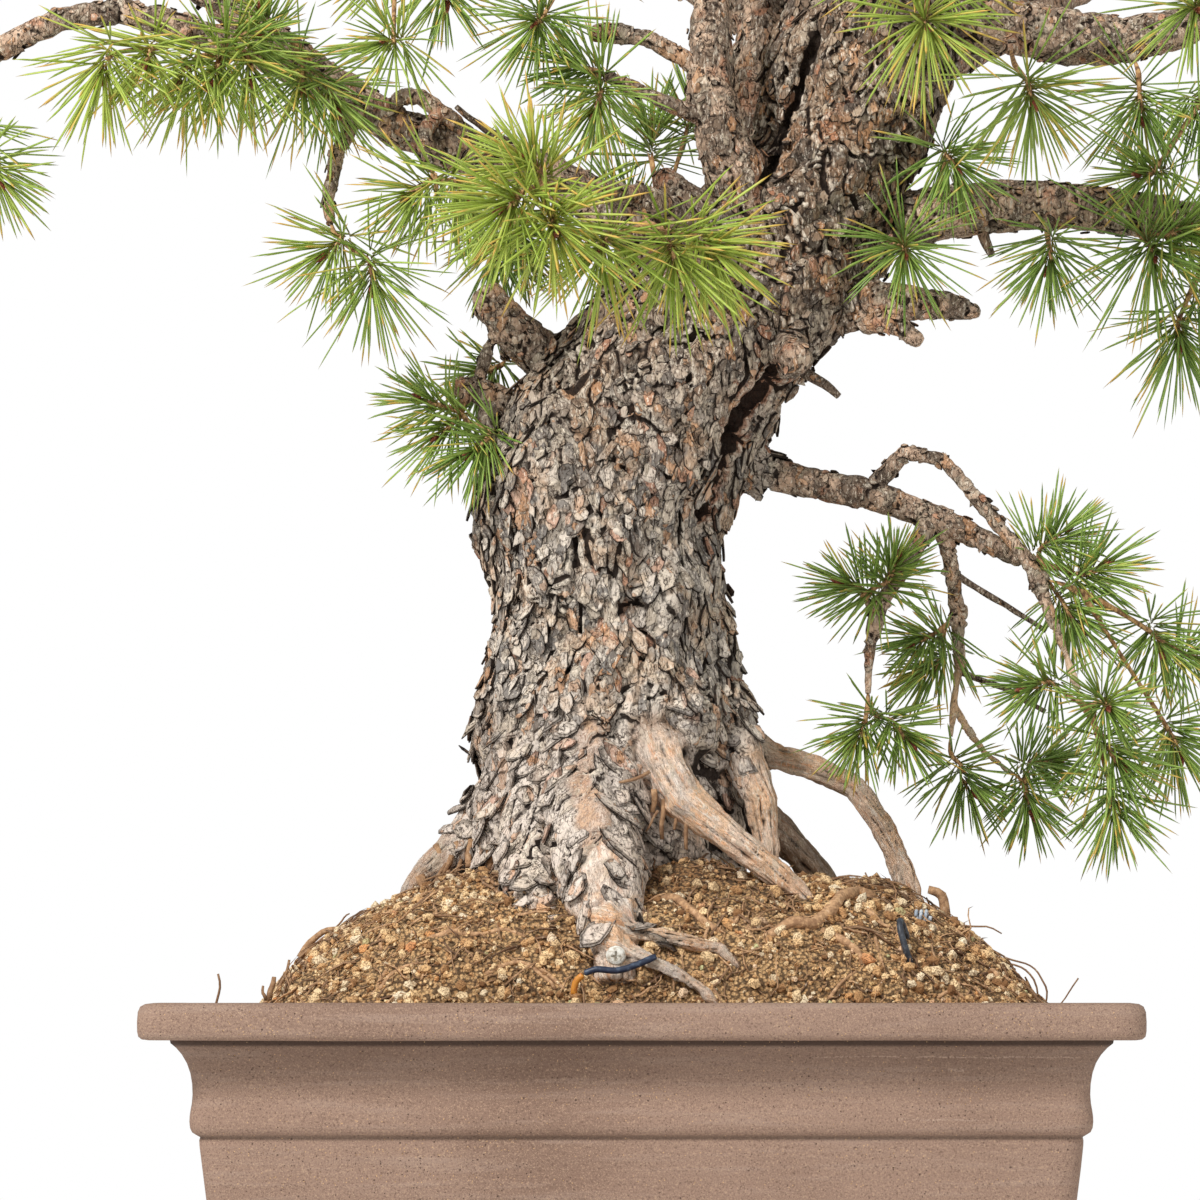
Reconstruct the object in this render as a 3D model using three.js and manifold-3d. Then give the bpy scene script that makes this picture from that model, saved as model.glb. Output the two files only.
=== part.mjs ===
// Scots pine bonsai in an unglazed rectangular pot. Millimetres, +Z up, the viewer's side is -Y.
import * as THREE from "three";
import { mergeVertices } from "three/addons/utils/BufferGeometryUtils.js";
import Module from "manifold-3d";

const wasm = await Module();
wasm.setup();
const { Manifold, Mesh } = wasm;

// Driving dimensions
const POT_HEIGHT = 172;
const RIM_HALF_X = 235.5;
const RIM_HALF_Y = 180.5;
const RIM_THICKNESS = 15;
const FLOOR_Z = 28;
const UNDERSIDE_Z = 14;
const DRAIN_X = 95;
const DRAIN_RADIUS = 14;
const SCREEN_SIDE = 46;
const SCREEN_THICKNESS = 1.5;
const GAP = 0.3;
const SEAT_GAP = 0.32;
const MOUND_RISE = 73;
const MOUND_EDGE_Z = POT_HEIGHT - 7;
const MOUND_HALF_X = 194;
const MOUND_HALF_Y = 138;
const MOUND_SHIFT_X = 7;
const TRUNK_FOOT_Z = 208;
const TRUNK_TOP_Z = 692;
const TRUNK_RING_STEP = 13.5;
const TRUNK_SIDES = 30;
const TRUNK_TWIST = 0.03;
const NEEDLE_CORE_RADIUS = 1.7;
const NEEDLE_SHARE = 0.78;
const NEEDLE_CLEARANCE = 1.9;
const SCREW_HEAD_RADIUS = 4.7;
const SCREW_SHANK_RADIUS = 2;
const WIRE_RADIUS = 1.6;

// Trunk sections from foot to top: height, centre x, centre y, half width, half depth
const TRUNK = [
  [196, -16, 4, 71, 64],
  [225, -16, 3, 66, 60],
  [245, -16, 2, 65, 57],
  [275, -17, 0, 65, 55],
  [305, -14, 0, 66, 55],
  [325, -13, 0, 62, 54],
  [350, -13, 0, 60, 53],
  [376, -16, 0, 58, 52],
  [396, -20, 0, 57, 52],
  [411, -21, 0, 58, 53],
  [431, -17, -2, 62, 54],
  [451, -10, -2, 63, 56],
  [466, 0, -2, 66, 57],
  [481, 9, -2, 69, 58],
  [502, 25, -2, 67, 57],
  [527, 45, -2, 62, 54],
  [547, 59, 0, 58, 50],
  [568, 75, 0, 50, 46],
  [588, 88, 0, 47, 43],
  [603, 103, 0, 41, 40],
  [629, 109, 0, 43, 39],
  [654, 113, 0, 44, 38],
  [692, 127, 0, 37, 34],
];

// Roots, from inside the trunk's foot outward and down: x, y, z, radius
const ROOTS = {
  front: [[-27, -16, 322, 23], [-23, -50, 278, 22.5], [-20, -82, 243, 20.3], [-16, -104, 216, 15.5],
    [-13, -117, 199, 11.5], [-12, -124, 182, 10]],
  frontForkHigh: [[-14, -110, 211, 5.7], [2, -118, 207, 4.8], [20, -121, 204, 4], [38, -122, 200, 3.3],
    [47, -124, 190, 3]],
  frontForkLow: [[-13, -118, 201, 5.7], [2, -128, 195, 4.5], [18, -133, 187, 3.8], [32, -136, 178, 3.3],
    [38, -138, 168, 3]],
  right: [[0, -30, 324, 14.8], [10, -50, 295, 12.3], [21, -60, 273, 10.8], [40, -66, 257, 8.8],
    [59, -70, 243, 7.3], [76, -74, 229, 5.6], [86, -76, 216, 5]],
  inner: [[41, -10, 325, 12], [52, -24, 297, 8.4], [61, -32, 274, 7.4], [63, -38, 249, 6.6],
    [60, -42, 226, 6]],
  arch: [[44, 12, 308, 11.5], [66, 14, 298, 8], [87, 16, 293, 7], [107, 12, 283, 6.8],
    [122, 6, 263, 6.5], [132, 0, 240, 6.2], [138, -4, 222, 6], [140, -6, 204, 5.5]],
  dark: [[31, 30, 297, 13.1], [54, 36, 277, 11.2], [78, 38, 254, 9.1], [99, 36, 229, 7.4],
    [108, 34, 212, 7]],
  left: [[-62, 10, 280, 18], [-81, 6, 260, 11.5], [-95, 0, 247, 8.5], [-107, -6, 237, 7],
    [-115, -10, 222, 6], [-118, -12, 206, 5]],
  frontLeft: [[-42, -22, 300, 22], [-52, -60, 242, 15.5], [-49, -82, 219, 11], [-43, -98, 203, 7.5],
    [-40, -106, 190, 6]],
  surface: [[38, -78, 222, 5.5], [52, -90, 217, 4.6], [68, -97, 213, 4.3], [88, -98, 213, 3.9],
    [102, -92, 219, 3.9], [115, -92, 214, 3.6], [126, -96, 200, 3]],
  back: [[-20, 40, 298, 30.6], [-25, 78, 262, 25.8], [-28, 104, 228, 17.7], [-30, 112, 208, 14]],
};

// Limbs, stubs and twigs, from inside their parent outward: x, y, z, radius
const LIMBS = {
  top: [[126, 0, 676, 36], [131, 0, 708, 31], [126, 2, 745, 24], [112, 0, 780, 18], [98, -6, 815, 13.5],
    [92, -12, 850, 9.5], [96, -16, 885, 6], [100, -18, 912, 3.4]],
  left: [[49, 5, 528, 17], [31, -2, 534, 15], [8, -12, 552, 11.9], [-20, -22, 572, 10.4],
    [-47, -28, 588, 9.9], [-79, -32, 594, 9.4], [-119, -32, 609, 8.9], [-154, -30, 631, 8.4],
    [-184, -30, 654, 7.4], [-214, -32, 676, 6.4], [-249, -36, 698, 5.2], [-300, -42, 715, 4.4],
    [-345, -46, 722, 3.6], [-376, -46, 726, 2.6]],
  upperLeft: [[-150, -30, 628, 6.4], [-189, -36, 645, 6.2], [-224, -42, 657, 5.9],
    [-258, -46, 666, 5.4], [-288, -48, 661, 4.8], [-317, -48, 646, 4.4], [-347, -44, 624, 3.8],
    [-373, -40, 606, 3.2], [-393, -38, 593, 2.6]],
  stubLeft: [[-25, 0, 491, 15], [-47, -6, 497, 12], [-62, -10, 510, 9.5], [-73, -12, 522, 8],
    [-77, -12, 530, 6]],
  stubDead: [[-40, 0, 461, 11], [-55, -8, 469, 7.5], [-70, -12, 476, 5.5], [-85, -14, 481, 5],
    [-91, -14, 482, 4]],
  linkTwig: [[-71, -12, 510, 2.5], [-76, -14, 499, 2.2], [-80, -15, 486, 2.2], [-79, -14, 477, 2.5]],
  hangTwig: [[-75, -14, 474, 2.6], [-77, -22, 461, 2.3], [-75, -24, 449, 2.3], [-66, -14, 440, 2.8]],
  leader: [[66, -20, 562, 19.8], [51, -34, 580, 14.8], [41, -40, 602, 11.8], [36, -42, 627, 10.3],
    [35, -40, 647, 9.4], [36, -36, 673, 8.4], [33, -30, 710, 6.9], [21, -26, 746, 5.4],
    [6, -24, 777, 4], [-9, -22, 803, 2.8]],
  leaderStub: [[36, -40, 632, 4.4], [24, -44, 641, 3.6], [5, -48, 651, 3.4], [-11, -50, 653, 3.7],
    [-23, -52, 654, 3.4]],
  leaderTwig: [[36, -40, 612, 3.6], [23, -48, 615, 2.7], [5, -54, 622, 2.3], [-17, -58, 631, 2.1]],
  middle: [[77, 20, 581, 16.1], [65, 30, 608, 12.1], [61, 36, 635, 12.2], [64, 40, 662, 12.7],
    [67, 44, 689, 12.2], [71, 56, 733, 9.7], [75, 74, 779, 7.7], [78, 96, 827, 5.7],
    [76, 118, 864, 3.1]],
  right: [[105, 5, 549, 19], [123, 0, 563, 13.5], [146, -8, 569, 12], [181, -14, 573, 10.9],
    [216, -18, 572, 10.4], [246, -20, 568, 9.9], [281, -20, 563, 8.4], [321, -18, 564, 6.5],
    [357, -14, 558, 4.5], [387, -10, 548, 2.8]],
  heavyRight: [[127, 0, 675, 22], [157, -8, 671, 16.9], [187, -14, 664, 13.9], [217, -18, 657, 11.9],
    [246, -20, 656, 9.9], [281, -22, 664, 7.9], [317, -22, 679, 5.9], [352, -22, 693, 4.2],
    [377, -22, 700, 2.8]],
  deadRight: [[96, -16, 529, 11.5], [115, -26, 524, 8.4], [132, -30, 522, 7.4], [152, -32, 520, 5.2],
    [168, -33, 517, 1.8]],
  lowRight: [[42, 10, 450, 11], [62, 8, 442, 8.5], [81, 4, 436, 7], [116, -4, 428, 6.2],
    [151, -10, 415, 5.5], [173, -14, 404, 4.5], [191, -16, 394, 3.2]],
  archShoot: [[116, -5, 430, 3.4], [133, -12, 449, 3], [152, -16, 444, 2.8], [172, -22, 420, 2.6],
    [193, -28, 393, 2.4], [207, -31, 358, 2.1], [217, -32, 328, 1.8]],
  hangA: [[147, -11, 416, 3.6], [132, -22, 391, 2.6], [119, -28, 370, 2.3], [114, -30, 348, 2.1],
    [113, -30, 326, 1.8]],
  hangB: [[152, -9, 413, 4], [157, -4, 390, 3], [160, 2, 371, 2.8], [161, 4, 343, 2.6],
    [157, 2, 319, 2.1], [156, 0, 306, 1.8]],
  hangC: [[157, 2, 324, 2.4], [164, 6, 312, 2.2], [173, 9, 300, 2], [188, 10, 288, 1.7]],
  cutKnob: [[-78, -32, 593, 8], [-80, -50, 591, 6], [-81, -56, 590, 4.6]],
  cutKnot: [[72, -36, 498, 10], [76, -60, 491, 7.6], [77, -65, 489, 6]],
  stubHigh: [[103, -20, 515, 6.5], [124, -30, 512, 4.4], [139, -34, 502, 2.6]],
  deadLeft: [[50, -28, 548, 14.8], [33, -36, 562, 11.8], [20, -38, 573, 8.9], [11, -38, 584, 4]],
  archTwig: [[-64, -30, 592, 4.2], [-79, -36, 598, 3.3], [-88, -40, 607, 3.2], [-99, -43, 616, 3],
    [-109, -44, 623, 2.8], [-118, -44, 622, 2.5], [-125, -42, 618, 2.1]],
  forkTwig: [[-99, -43, 615, 2.4], [-106, -52, 605, 2.2], [-107, -60, 593, 2.1], [-103, -66, 583, 1.9]],
  danglingTwig: [[-141, -32, 622, 4], [-143, -46, 607, 2.7], [-149, -52, 595, 2.4],
    [-151, -54, 585, 2.2], [-154, -56, 569, 2], [-152, -58, 558, 1.8]],
  crownLeft: [[122, -4, 708, 17], [92, -10, 732, 11], [51, -16, 743, 8.4], [1, -20, 750, 6.5],
    [-50, -22, 752, 4.5], [-95, -22, 752, 2.8]],
  crownRight: [[118, 0, 762, 14], [148, 8, 777, 9], [185, 14, 791, 7], [226, 18, 800, 5],
    [267, 20, 800, 3]],
  crownBack: [[123, 10, 739, 14.1], [120, 50, 758, 10.2], [112, 100, 780, 7.8], [107, 150, 799, 5.3],
    [103, 190, 814, 3]],
  lowBack: [[67, 26, 560, 17.2], [63, 70, 589, 12.3], [68, 120, 623, 9.4], [81, 158, 650, 6.9],
    [95, 192, 672, 4.3], [103, 208, 684, 2.8]],
  crownFront: [[112, -6, 776, 12], [108, -50, 781, 7.8], [95, -100, 772, 5.8], [83, -150, 757, 3.5],
    [78, -175, 749, 2.5]],
  front: [[50, -32, 535, 13], [32, -70, 547, 7.8], [17, -110, 555, 5.7], [0, -150, 557, 4.2],
    [-20, -185, 554, 3], [-38, -210, 552, 2.2]],
  frontRight: [[131, -26, 668, 13.8], [137, -66, 682, 8], [141, -112, 690, 6], [142, -155, 686, 4.2],
    [141, -185, 675, 2.7]],
  backRight: [[132, 28, 653, 15.2], [168, 80, 669, 10.3], [209, 130, 695, 7.4], [250, 170, 724, 4.8],
    [280, 195, 740, 3]],
  backLeft: [[66, 48, 677, 11.2], [33, 90, 703, 7.8], [-9, 130, 727, 5.8], [-52, 160, 744, 4.2],
    [-85, 180, 754, 2.8]],
};

// Sprays in view: name, the limb whose tip bears it or the two ends of its bearing spur,
// then its tufts: x, y, z, heading x, y, z, needle length
const SPRAYS = [
  ["left_far", "left", [
    [-392, -52, 722, -0.8, -0.2, 0.1, 42],
    [-390, -30, 740, -0.5, 0.3, 0.7, 40],
    [-397, -66, 707, -0.6, -0.3, -0.6, 44],
    [-412, -40, 729, -0.9, 0.1, 0.2, 44],
  ]],
  ["left_edge", [[-342, -45, 627], [-340, -49, 621]], [
    [-331, -56, 602, 0.1, -0.2, -0.9, 46],
    [-319, -62, 584, 0.5, -0.3, -0.7, 42],
    [-347, -44, 596, -0.5, 0.1, -0.8, 44],
  ]],
  ["left_low_tip", "upperLeft", [
    [-405, -40, 587, -0.8, -0.1, -0.4, 46],
    [-404, -26, 578, -0.3, 0.2, -0.9, 44],
    [-409, -52, 597, -0.8, -0.3, 0.3, 42],
  ]],
  ["left_hanging", [[-224, -42, 657], [-226, -52, 652]], [
    [-258, -120, 627, -0.55, -0.2, -0.8, 50],
    [-238, -104, 634, -0.2, -0.5, -0.7, 44],
  ]],
  ["left_front", [[-211, -43, 653], [-209, -53, 647]], [
    [-219, -92, 631, -0.6, -0.2, -0.7, 48],
    [-206, -88, 631, -0.1, -0.4, -0.9, 48],
    [-192, -84, 635, 0.35, -0.3, -0.8, 52],
    [-198, -76, 646, 0.6, -0.4, 0.3, 40],
  ]],
  ["left_middle", [[-171, -31, 644], [-171, -44, 648]], [
    [-166, -70, 630, 0, -0.3, -0.95, 50],
    [-183, -62, 655, -0.5, -0.4, 0.5, 34],
    [-153, -64, 622, 0.4, -0.3, -0.8, 42],
  ]],
  ["left_rosette", "crownLeft", [
    [-120, -98, 641, 0.05, -0.95, -0.25, 42],
    [-132, -70, 681, -0.6, -0.2, 0.4, 38],
  ]],
  ["centre_rosette", [[-9, -21, 751], [-11, -26, 743]], [
    [-49, -68, 657, -0.3, -0.85, -0.4, 46],
    [-20, -44, 697, 0.2, -0.4, 0.6, 36],
    [-96, -60, 674, 0.3, -0.4, -0.8, 42],
  ]],
  ["left_fork", "forkTwig", [
    [-100, -76, 575, 0.1, -0.4, -0.9, 52],
    [-89, -84, 572, 0.55, -0.4, -0.7, 44],
    [-110, -76, 571, -0.7, -0.3, -0.5, 42],
  ]],
  ["left_dangling", "danglingTwig", [
    [-148, -64, 547, -0.45, -0.3, -0.8, 48],
    [-132, -68, 533, 0.15, -0.2, -0.95, 50],
  ]],
  ["left_under", [[-47, -28, 585], [-50, -16, 579]], [
    [-72, 8, 556, -0.3, 0.2, -0.9, 40],
    [-60, 20, 563, 0.3, 0.4, -0.8, 36],
  ]],
  ["stub_upper", [[-64, -8, 507], [-67, 2, 499]], [
    [-78, 6, 492, -0.85, 0.3, -0.1, 32],
    [-74, 14, 491, 0.2, 0.5, -0.8, 28],
  ]],
  ["stub_lower", [[-86, -14, 480], [-87, -18, 474]], [
    [-99, -26, 471, -0.9, -0.25, 0.2, 36],
    [-93, -28, 461, -0.65, -0.3, -0.65, 40],
    [-76, -38, 452, -0.6, -0.3, -0.75, 38],
  ]],
  ["front_left", "front", [
    [-58, -228, 543, -0.45, -0.5, -0.6, 56],
    [-42, -226, 533, -0.05, -0.55, -0.8, 56],
    [-48, -214, 559, -0.3, -0.4, 0.6, 46],
  ]],
  ["front_centre", [[0, -150, 557], [2, -158, 550]], [
    [-18, -204, 525, -0.3, -0.5, -0.75, 54],
    [14, -190, 525, 0.25, -0.5, -0.8, 56],
    [30, -176, 530, 0.6, -0.4, -0.55, 50],
  ]],
  ["leader_twig", "leaderTwig", [
    [-24, -62, 633, -0.85, -0.2, 0.1, 40],
    [-20, -78, 616, -0.2, -0.5, -0.8, 40],
  ]],
  ["centre_back", [[15, -8, 547], [13, 14, 562]], [
    [7, 34, 614, 0.1, 0.1, 0.9, 44],
    [-8, 34, 583, -0.7, 0.3, 0.2, 42],
    [27, 44, 626, 0.3, 0.2, 0.8, 40],
  ]],
  ["right_sharp", [[246, -20, 567], [248, -36, 557]], [
    [252, -52, 547, 0.1, -0.75, -0.6, 60],
    [264, -58, 553, 0.6, -0.7, 0.3, 48],
  ]],
  ["right_hanging", [[281, -20, 562], [281, -28, 552]], [
    [267, -42, 507, -0.1, -0.3, -0.95, 50],
    [282, -34, 522, 0.6, -0.1, -0.7, 46],
  ]],
  ["right_upper_edge", [[246, -20, 654], [248, -26, 645]], [
    [250, -34, 622, 0.05, -0.35, -0.9, 48],
  ]],
  ["right_front", [[187, -14, 662], [186, -36, 648]], [
    [189, -104, 616, 0, -0.75, -0.6, 52],
  ]],
  ["top_front", "frontRight", [
    [132, -204, 631, 0, -0.8, -0.55, 52],
    [149, -190, 657, 0.7, -0.4, 0.4, 44],
    [117, -180, 662, -0.7, -0.4, 0.4, 44],
  ]],
  ["edge_front", [[281, -22, 666], [281, -42, 669]], [
    [269, -112, 656, -0.2, -0.75, -0.5, 50],
    [288, -90, 669, 0.7, -0.3, 0.4, 44],
  ]],
  ["branch_upper", [[146, -8, 570], [148, -20, 577]], [
    [154, -40, 593, 0.2, -0.5, -0.4, 42],
  ]],
  ["branch_lower", [[128, -4, 561], [128, -26, 553]], [
    [131, -48, 547, 0, -0.75, -0.6, 48],
  ]],
  ["branch_middle", [[204, -16, 571], [204, -24, 560]], [
    [204, -36, 548, 0.1, -0.4, -0.9, 44],
  ]],
  ["edge_twig", [[300, -22, 670], [298, -28, 660]], [
    [254, -48, 584, -0.55, -0.4, -0.6, 40],
    [279, -40, 617, 0.5, -0.3, -0.7, 42],
  ]],
  ["hang_upper", [[119, -28, 370], [115, -31, 372]], [
    [110, -38, 378, -0.75, -0.35, 0.3, 34],
    [124, -40, 385, 0.3, -0.5, 0.7, 32],
  ]],
  ["hang_tip", "hangA", [
    [111, -34, 311, -0.25, -0.25, -0.9, 34],
    [128, -30, 309, 0.5, -0.2, -0.75, 34],
  ]],
  ["hang_inner", [[160, 2, 367], [156, -2, 364]], [
    [146, -8, 357, -0.75, -0.3, -0.4, 32],
    [151, 0, 346, -0.4, 0.1, -0.9, 34],
  ]],
  ["hang_low", "hangB", [
    [162, 0, 288, 0.15, -0.2, -0.95, 36],
  ]],
  ["hang_right", "hangC", [
    [194, 10, 280, 0.2, -0.2, -0.9, 36],
    [201, 18, 295, 0.8, 0.1, 0.1, 34],
  ]],
  ["low_tip", "lowRight", [
    [204, -22, 403, 0.75, -0.3, 0.5, 36],
    [222, -26, 387, 0.85, -0.3, 0.1, 38],
    [213, -24, 368, 0.4, -0.25, -0.8, 38],
  ]],
  ["arch_tip", "archShoot", [
    [229, -44, 321, 0.3, -0.85, -0.25, 38],
    [232, -38, 298, 0.35, -0.3, -0.85, 40],
    [199, -34, 331, -0.8, -0.3, -0.3, 34],
    [234, -30, 274, 0.15, -0.2, -0.95, 40],
  ]],
  ["arch_side", [[197, -27, 384], [202, -30, 383]], [
    [257, -12, 357, 0.5, -0.3, -0.5, 38],
    [278, 0, 347, 0.85, -0.1, -0.2, 38],
    [266, -6, 307, 0.4, -0.2, -0.85, 42],
  ]],
];

// Sprays of the upper crown: name, limb, place along it (1 is the tip), number of tufts, spur direction
const CROWN = [
  ["crown_leader", "leader", 1, 4],
  ["crown_left", "crownLeft", 0.5, 4, [0, -3, 10]],
  ["crown_middle", "middle", 1, 3],
  ["crown_apex", "top", 1, 4],
  ["crown_shoulder", "top", 0.62, 4, [-9, -5, 1]],
  ["crown_right_tip", "crownRight", 1, 3],
  ["crown_right", "crownRight", 0.5, 3, [0, -3, 10]],
  ["crown_far_right", "heavyRight", 1, 4],
  ["right_far", "right", 1, 4],
  ["crown_back", "crownBack", 1, 4],
  ["back_low", "lowBack", 1, 3],
  ["crown_front", "crownFront", 1, 4],
  ["back_right", "backRight", 1, 3],
  ["back_left", "backLeft", 1, 4],
  ["left_upper", "left", 0.76, 3, [0, -3, 10]],
];

const COLOURS = {
  bark: { color: 0x8f7c6c, roughness: 0.95, metalness: 0 },
  needle: { color: 0x5c7a34, roughness: 0.6, metalness: 0 },
  clay: { color: 0xa28371, roughness: 0.85, metalness: 0 },
  soil: { color: 0x9c7550, roughness: 1, metalness: 0 },
  mesh: { color: 0x2b2b2b, roughness: 0.7, metalness: 0 },
  screw: { color: 0xd8d4cc, roughness: 0.4, metalness: 0.6 },
  wire: { color: 0x2c3a4e, roughness: 0.5, metalness: 0 },
  sleeve: { color: 0xc8622c, roughness: 0.5, metalness: 0 },
};

// Seeded random numbers in 0 to 1
function randomFrom(seed) {
  let state = seed >>> 0;
  return () => {
    state = (state + 0x6d2b79f5) >>> 0;
    let t = Math.imul(state ^ (state >>> 15), 1 | state);
    t = (t + Math.imul(t ^ (t >>> 7), 61 | t)) ^ t;
    return ((t ^ (t >>> 14)) >>> 0) / 4294967296;
  };
}

function latticeValue(i, j, k) {
  let h = Math.imul(i, 374761393) ^ Math.imul(j, 668265263) ^ Math.imul(k, 1440662683);
  h = Math.imul(h ^ (h >>> 13), 1274126177);
  return ((h ^ (h >>> 16)) >>> 0) / 2147483648 - 1;
}

// Smooth noise in -1 to 1 over space
function noise(x, y, z) {
  const [i, j, k] = [Math.floor(x), Math.floor(y), Math.floor(z)];
  const ease = (t) => t * t * (3 - 2 * t);
  const [u, v, w] = [ease(x - i), ease(y - j), ease(z - k)];
  let sum = 0;
  for (let a = 0; a < 2; a++) {
    for (let b = 0; b < 2; b++) {
      for (let c = 0; c < 2; c++) {
        const weight = (a ? u : 1 - u) * (b ? v : 1 - v) * (c ? w : 1 - w);
        sum += weight * latticeValue(i + a, j + b, k + c);
      }
    }
  }
  return sum;
}

const vec = (p) => new THREE.Vector3(p[0], p[1], p[2]);

// Closed skin over a run of rings with equal point counts
function skin(rings) {
  const count = rings[0].length;
  const points = rings.flat();
  const faces = [];
  for (let r = 0; r + 1 < rings.length; r++) {
    for (let s = 0; s < count; s++) {
      const a = r * count + s;
      const b = r * count + ((s + 1) % count);
      faces.push([a, b, b + count], [a, b + count, a + count]);
    }
  }
  const last = (rings.length - 1) * count;
  for (let s = 1; s + 1 < count; s++) {
    faces.push([0, s + 1, s], [last, last + s, last + s + 1]);
  }
  return { points, faces };
}

function solid({ points, faces }) {
  const vertProperties = new Float32Array(points.flatMap((p) => [p.x, p.y, p.z]));
  const mesh = new Mesh({ numProp: 3, vertProperties, triVerts: new Uint32Array(faces.flat()) });
  mesh.merge();
  const body = new Manifold(mesh);
  return body.volume() < 0 ? solid({ points, faces: faces.map(([a, b, c]) => [a, c, b]) }) : body;
}

// A closed three.js geometry as a solid
function solidOf(geometry) {
  geometry.deleteAttribute("normal");
  geometry.deleteAttribute("uv");
  const merged = mergeVertices(geometry);
  const { position } = merged.attributes;
  const points = [];
  for (let i = 0; i < position.count; i++) {
    points.push(new THREE.Vector3().fromBufferAttribute(position, i));
  }
  const faces = [];
  for (let i = 0; i < merged.index.count; i += 3) {
    const face = [0, 1, 2].map((k) => merged.index.getX(i + k));
    if (new Set(face).size === 3) {
      faces.push(face);
    }
  }
  return solid({ points, faces });
}

function box(x0, y0, z0, x1, y1, z1) {
  const block = new THREE.BoxGeometry(x1 - x0, y1 - y0, z1 - z0);
  return solidOf(block.translate((x0 + x1) / 2, (y0 + y1) / 2, (z0 + z1) / 2));
}

// An upright drum between two heights
function drum(bottomRadius, topRadius, z0, z1, sides) {
  const round = new THREE.CylinderGeometry(topRadius, bottomRadius, z1 - z0, sides);
  return solidOf(round.rotateX(Math.PI / 2).translate(0, 0, (z0 + z1) / 2));
}

// The largest body of a solid, without loose scraps
function mainBody(body) {
  return body.decompose().sort((a, b) => b.volume() - a.volume())[0];
}

function part(name, body, look) {
  const mesh = body.getMesh();
  const geometry = new THREE.BufferGeometry();
  geometry.setAttribute("position", new THREE.BufferAttribute(new Float32Array(mesh.vertProperties), 3));
  geometry.setIndex(new THREE.BufferAttribute(new Uint32Array(mesh.triVerts), 1));
  geometry.computeVertexNormals();
  const node = new THREE.Mesh(geometry, new THREE.MeshStandardMaterial(COLOURS[look]));
  node.name = name;
  return node;
}

// Ring frames along a curved route: centre, heading and two side directions
function framesAlong(route, count) {
  const curve = new THREE.CatmullRomCurve3(route.map(vec), false, "centripetal");
  const frames = [];
  let side = null;
  for (let i = 0; i < count; i++) {
    const t = i / (count - 1);
    const at = curve.getPoint(t);
    const heading = curve.getTangent(t);
    if (side === null) {
      const helper = Math.abs(heading.z) < 0.8 ? new THREE.Vector3(0, 0, 1) : new THREE.Vector3(0, 1, 0);
      side = helper.cross(heading).normalize();
    }
    side = side.clone().addScaledVector(heading, -side.dot(heading)).normalize();
    const across = heading.clone().cross(side);
    const place = t * (route.length - 1);
    const k = Math.min(Math.floor(place), route.length - 2);
    const radius = route[k][3] + (route[k + 1][3] - route[k][3]) * (place - k);
    frames.push({ at, heading, side, across, radius });
  }
  return frames;
}

function ringAt({ at, side, across }, radius, sides, rough) {
  const ring = [];
  for (let s = 0; s < sides; s++) {
    const angle = (2 * Math.PI * s) / sides;
    const out = side.clone().multiplyScalar(Math.cos(angle)).addScaledVector(across, Math.sin(angle));
    const point = at.clone().addScaledVector(out, radius);
    const swell = rough * radius * noise(point.x / 9, point.y / 9, point.z / 11);
    ring.push(point.addScaledVector(out, swell));
  }
  return ring;
}

// A round limb along a route; grow widens it for the hole it leaves in another piece
function limb(route, grow = 0, rough = 0.16) {
  const widest = Math.max(...route.map((p) => p[3]));
  const sides = widest > 14 ? 8 : widest > 6 ? 6 : widest > 3.2 ? 5 : 4;
  const count = route.length;
  const frames = framesAlong(route, count);
  const last = frames[count - 1];
  last.at.addScaledVector(last.heading, grow);
  const rings = frames.map((f, i) => ringAt(f, f.radius + grow, sides, i === count - 1 ? 0 : rough));
  return solid(skin(rings));
}

const bump = (distance, reach) => Math.exp(-((distance / reach) ** 2));

function distanceToRun(x, z, run) {
  let best = Infinity;
  for (let i = 0; i + 1 < run.length; i++) {
    const [ax, az] = run[i];
    const [bx, bz] = [run[i + 1][0] - ax, run[i + 1][1] - az];
    const t = Math.min(1, Math.max(0, ((x - ax) * bx + (z - az) * bz) / (bx * bx + bz * bz)));
    best = Math.min(best, Math.hypot(x - ax - t * bx, z - az - t * bz));
  }
  return best;
}

// Deep cracks, burls and hollows on the viewer's side of the trunk, as x and z
const DEEP_CRACK = [[76, 484], [62, 462], [46, 438], [30, 416]];
const SIDE_CRACK = [[-33, 396], [-31, 374]];
const FOLD = [[-37, 352], [-20, 358], [-6, 357]];
const HIGH_CRACK = [[88, 655], [79, 628], [70, 600]];
const BURLS = [[-42, 381, 13, 5], [-17, 404, 14, 6], [26, 437, 15, 5], [6, 452, 12, 4], [-48, 440, 14, 5],
  [14, 372, 12, 4], [-30, 330, 16, 4], [20, 318, 14, 4], [96, 610, 12, 4]];

// Bark relief as an outward offset from the plain trunk section
function barkRelief(x, y, z, frontness) {
  const warp = 10 * noise(x / 42, y / 42, z / 55);
  const plate = noise((x + warp) / 16, (y - warp) / 16, z / 52);
  const small = noise(x / 8, y / 8, z / 13);
  let offset = 2 - 6.5 * bump(plate, 0.2) + 1.6 * small + 3 * noise(x / 50, y / 50, z / 60);
  if (frontness > 0) {
    offset -= frontness * 11 * bump(distanceToRun(x, z, DEEP_CRACK), 5.5);
    offset -= frontness * 6 * bump(distanceToRun(x, z, SIDE_CRACK), 4);
    offset -= frontness * 4 * bump(distanceToRun(x, z, FOLD), 4);
    offset -= frontness * 9 * bump(distanceToRun(x, z, HIGH_CRACK), 6);
    for (const [bx, bz, reach, height] of BURLS) {
      offset += frontness * height * bump(Math.hypot(x - bx, z - bz), reach);
    }
  }
  return offset;
}

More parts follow.
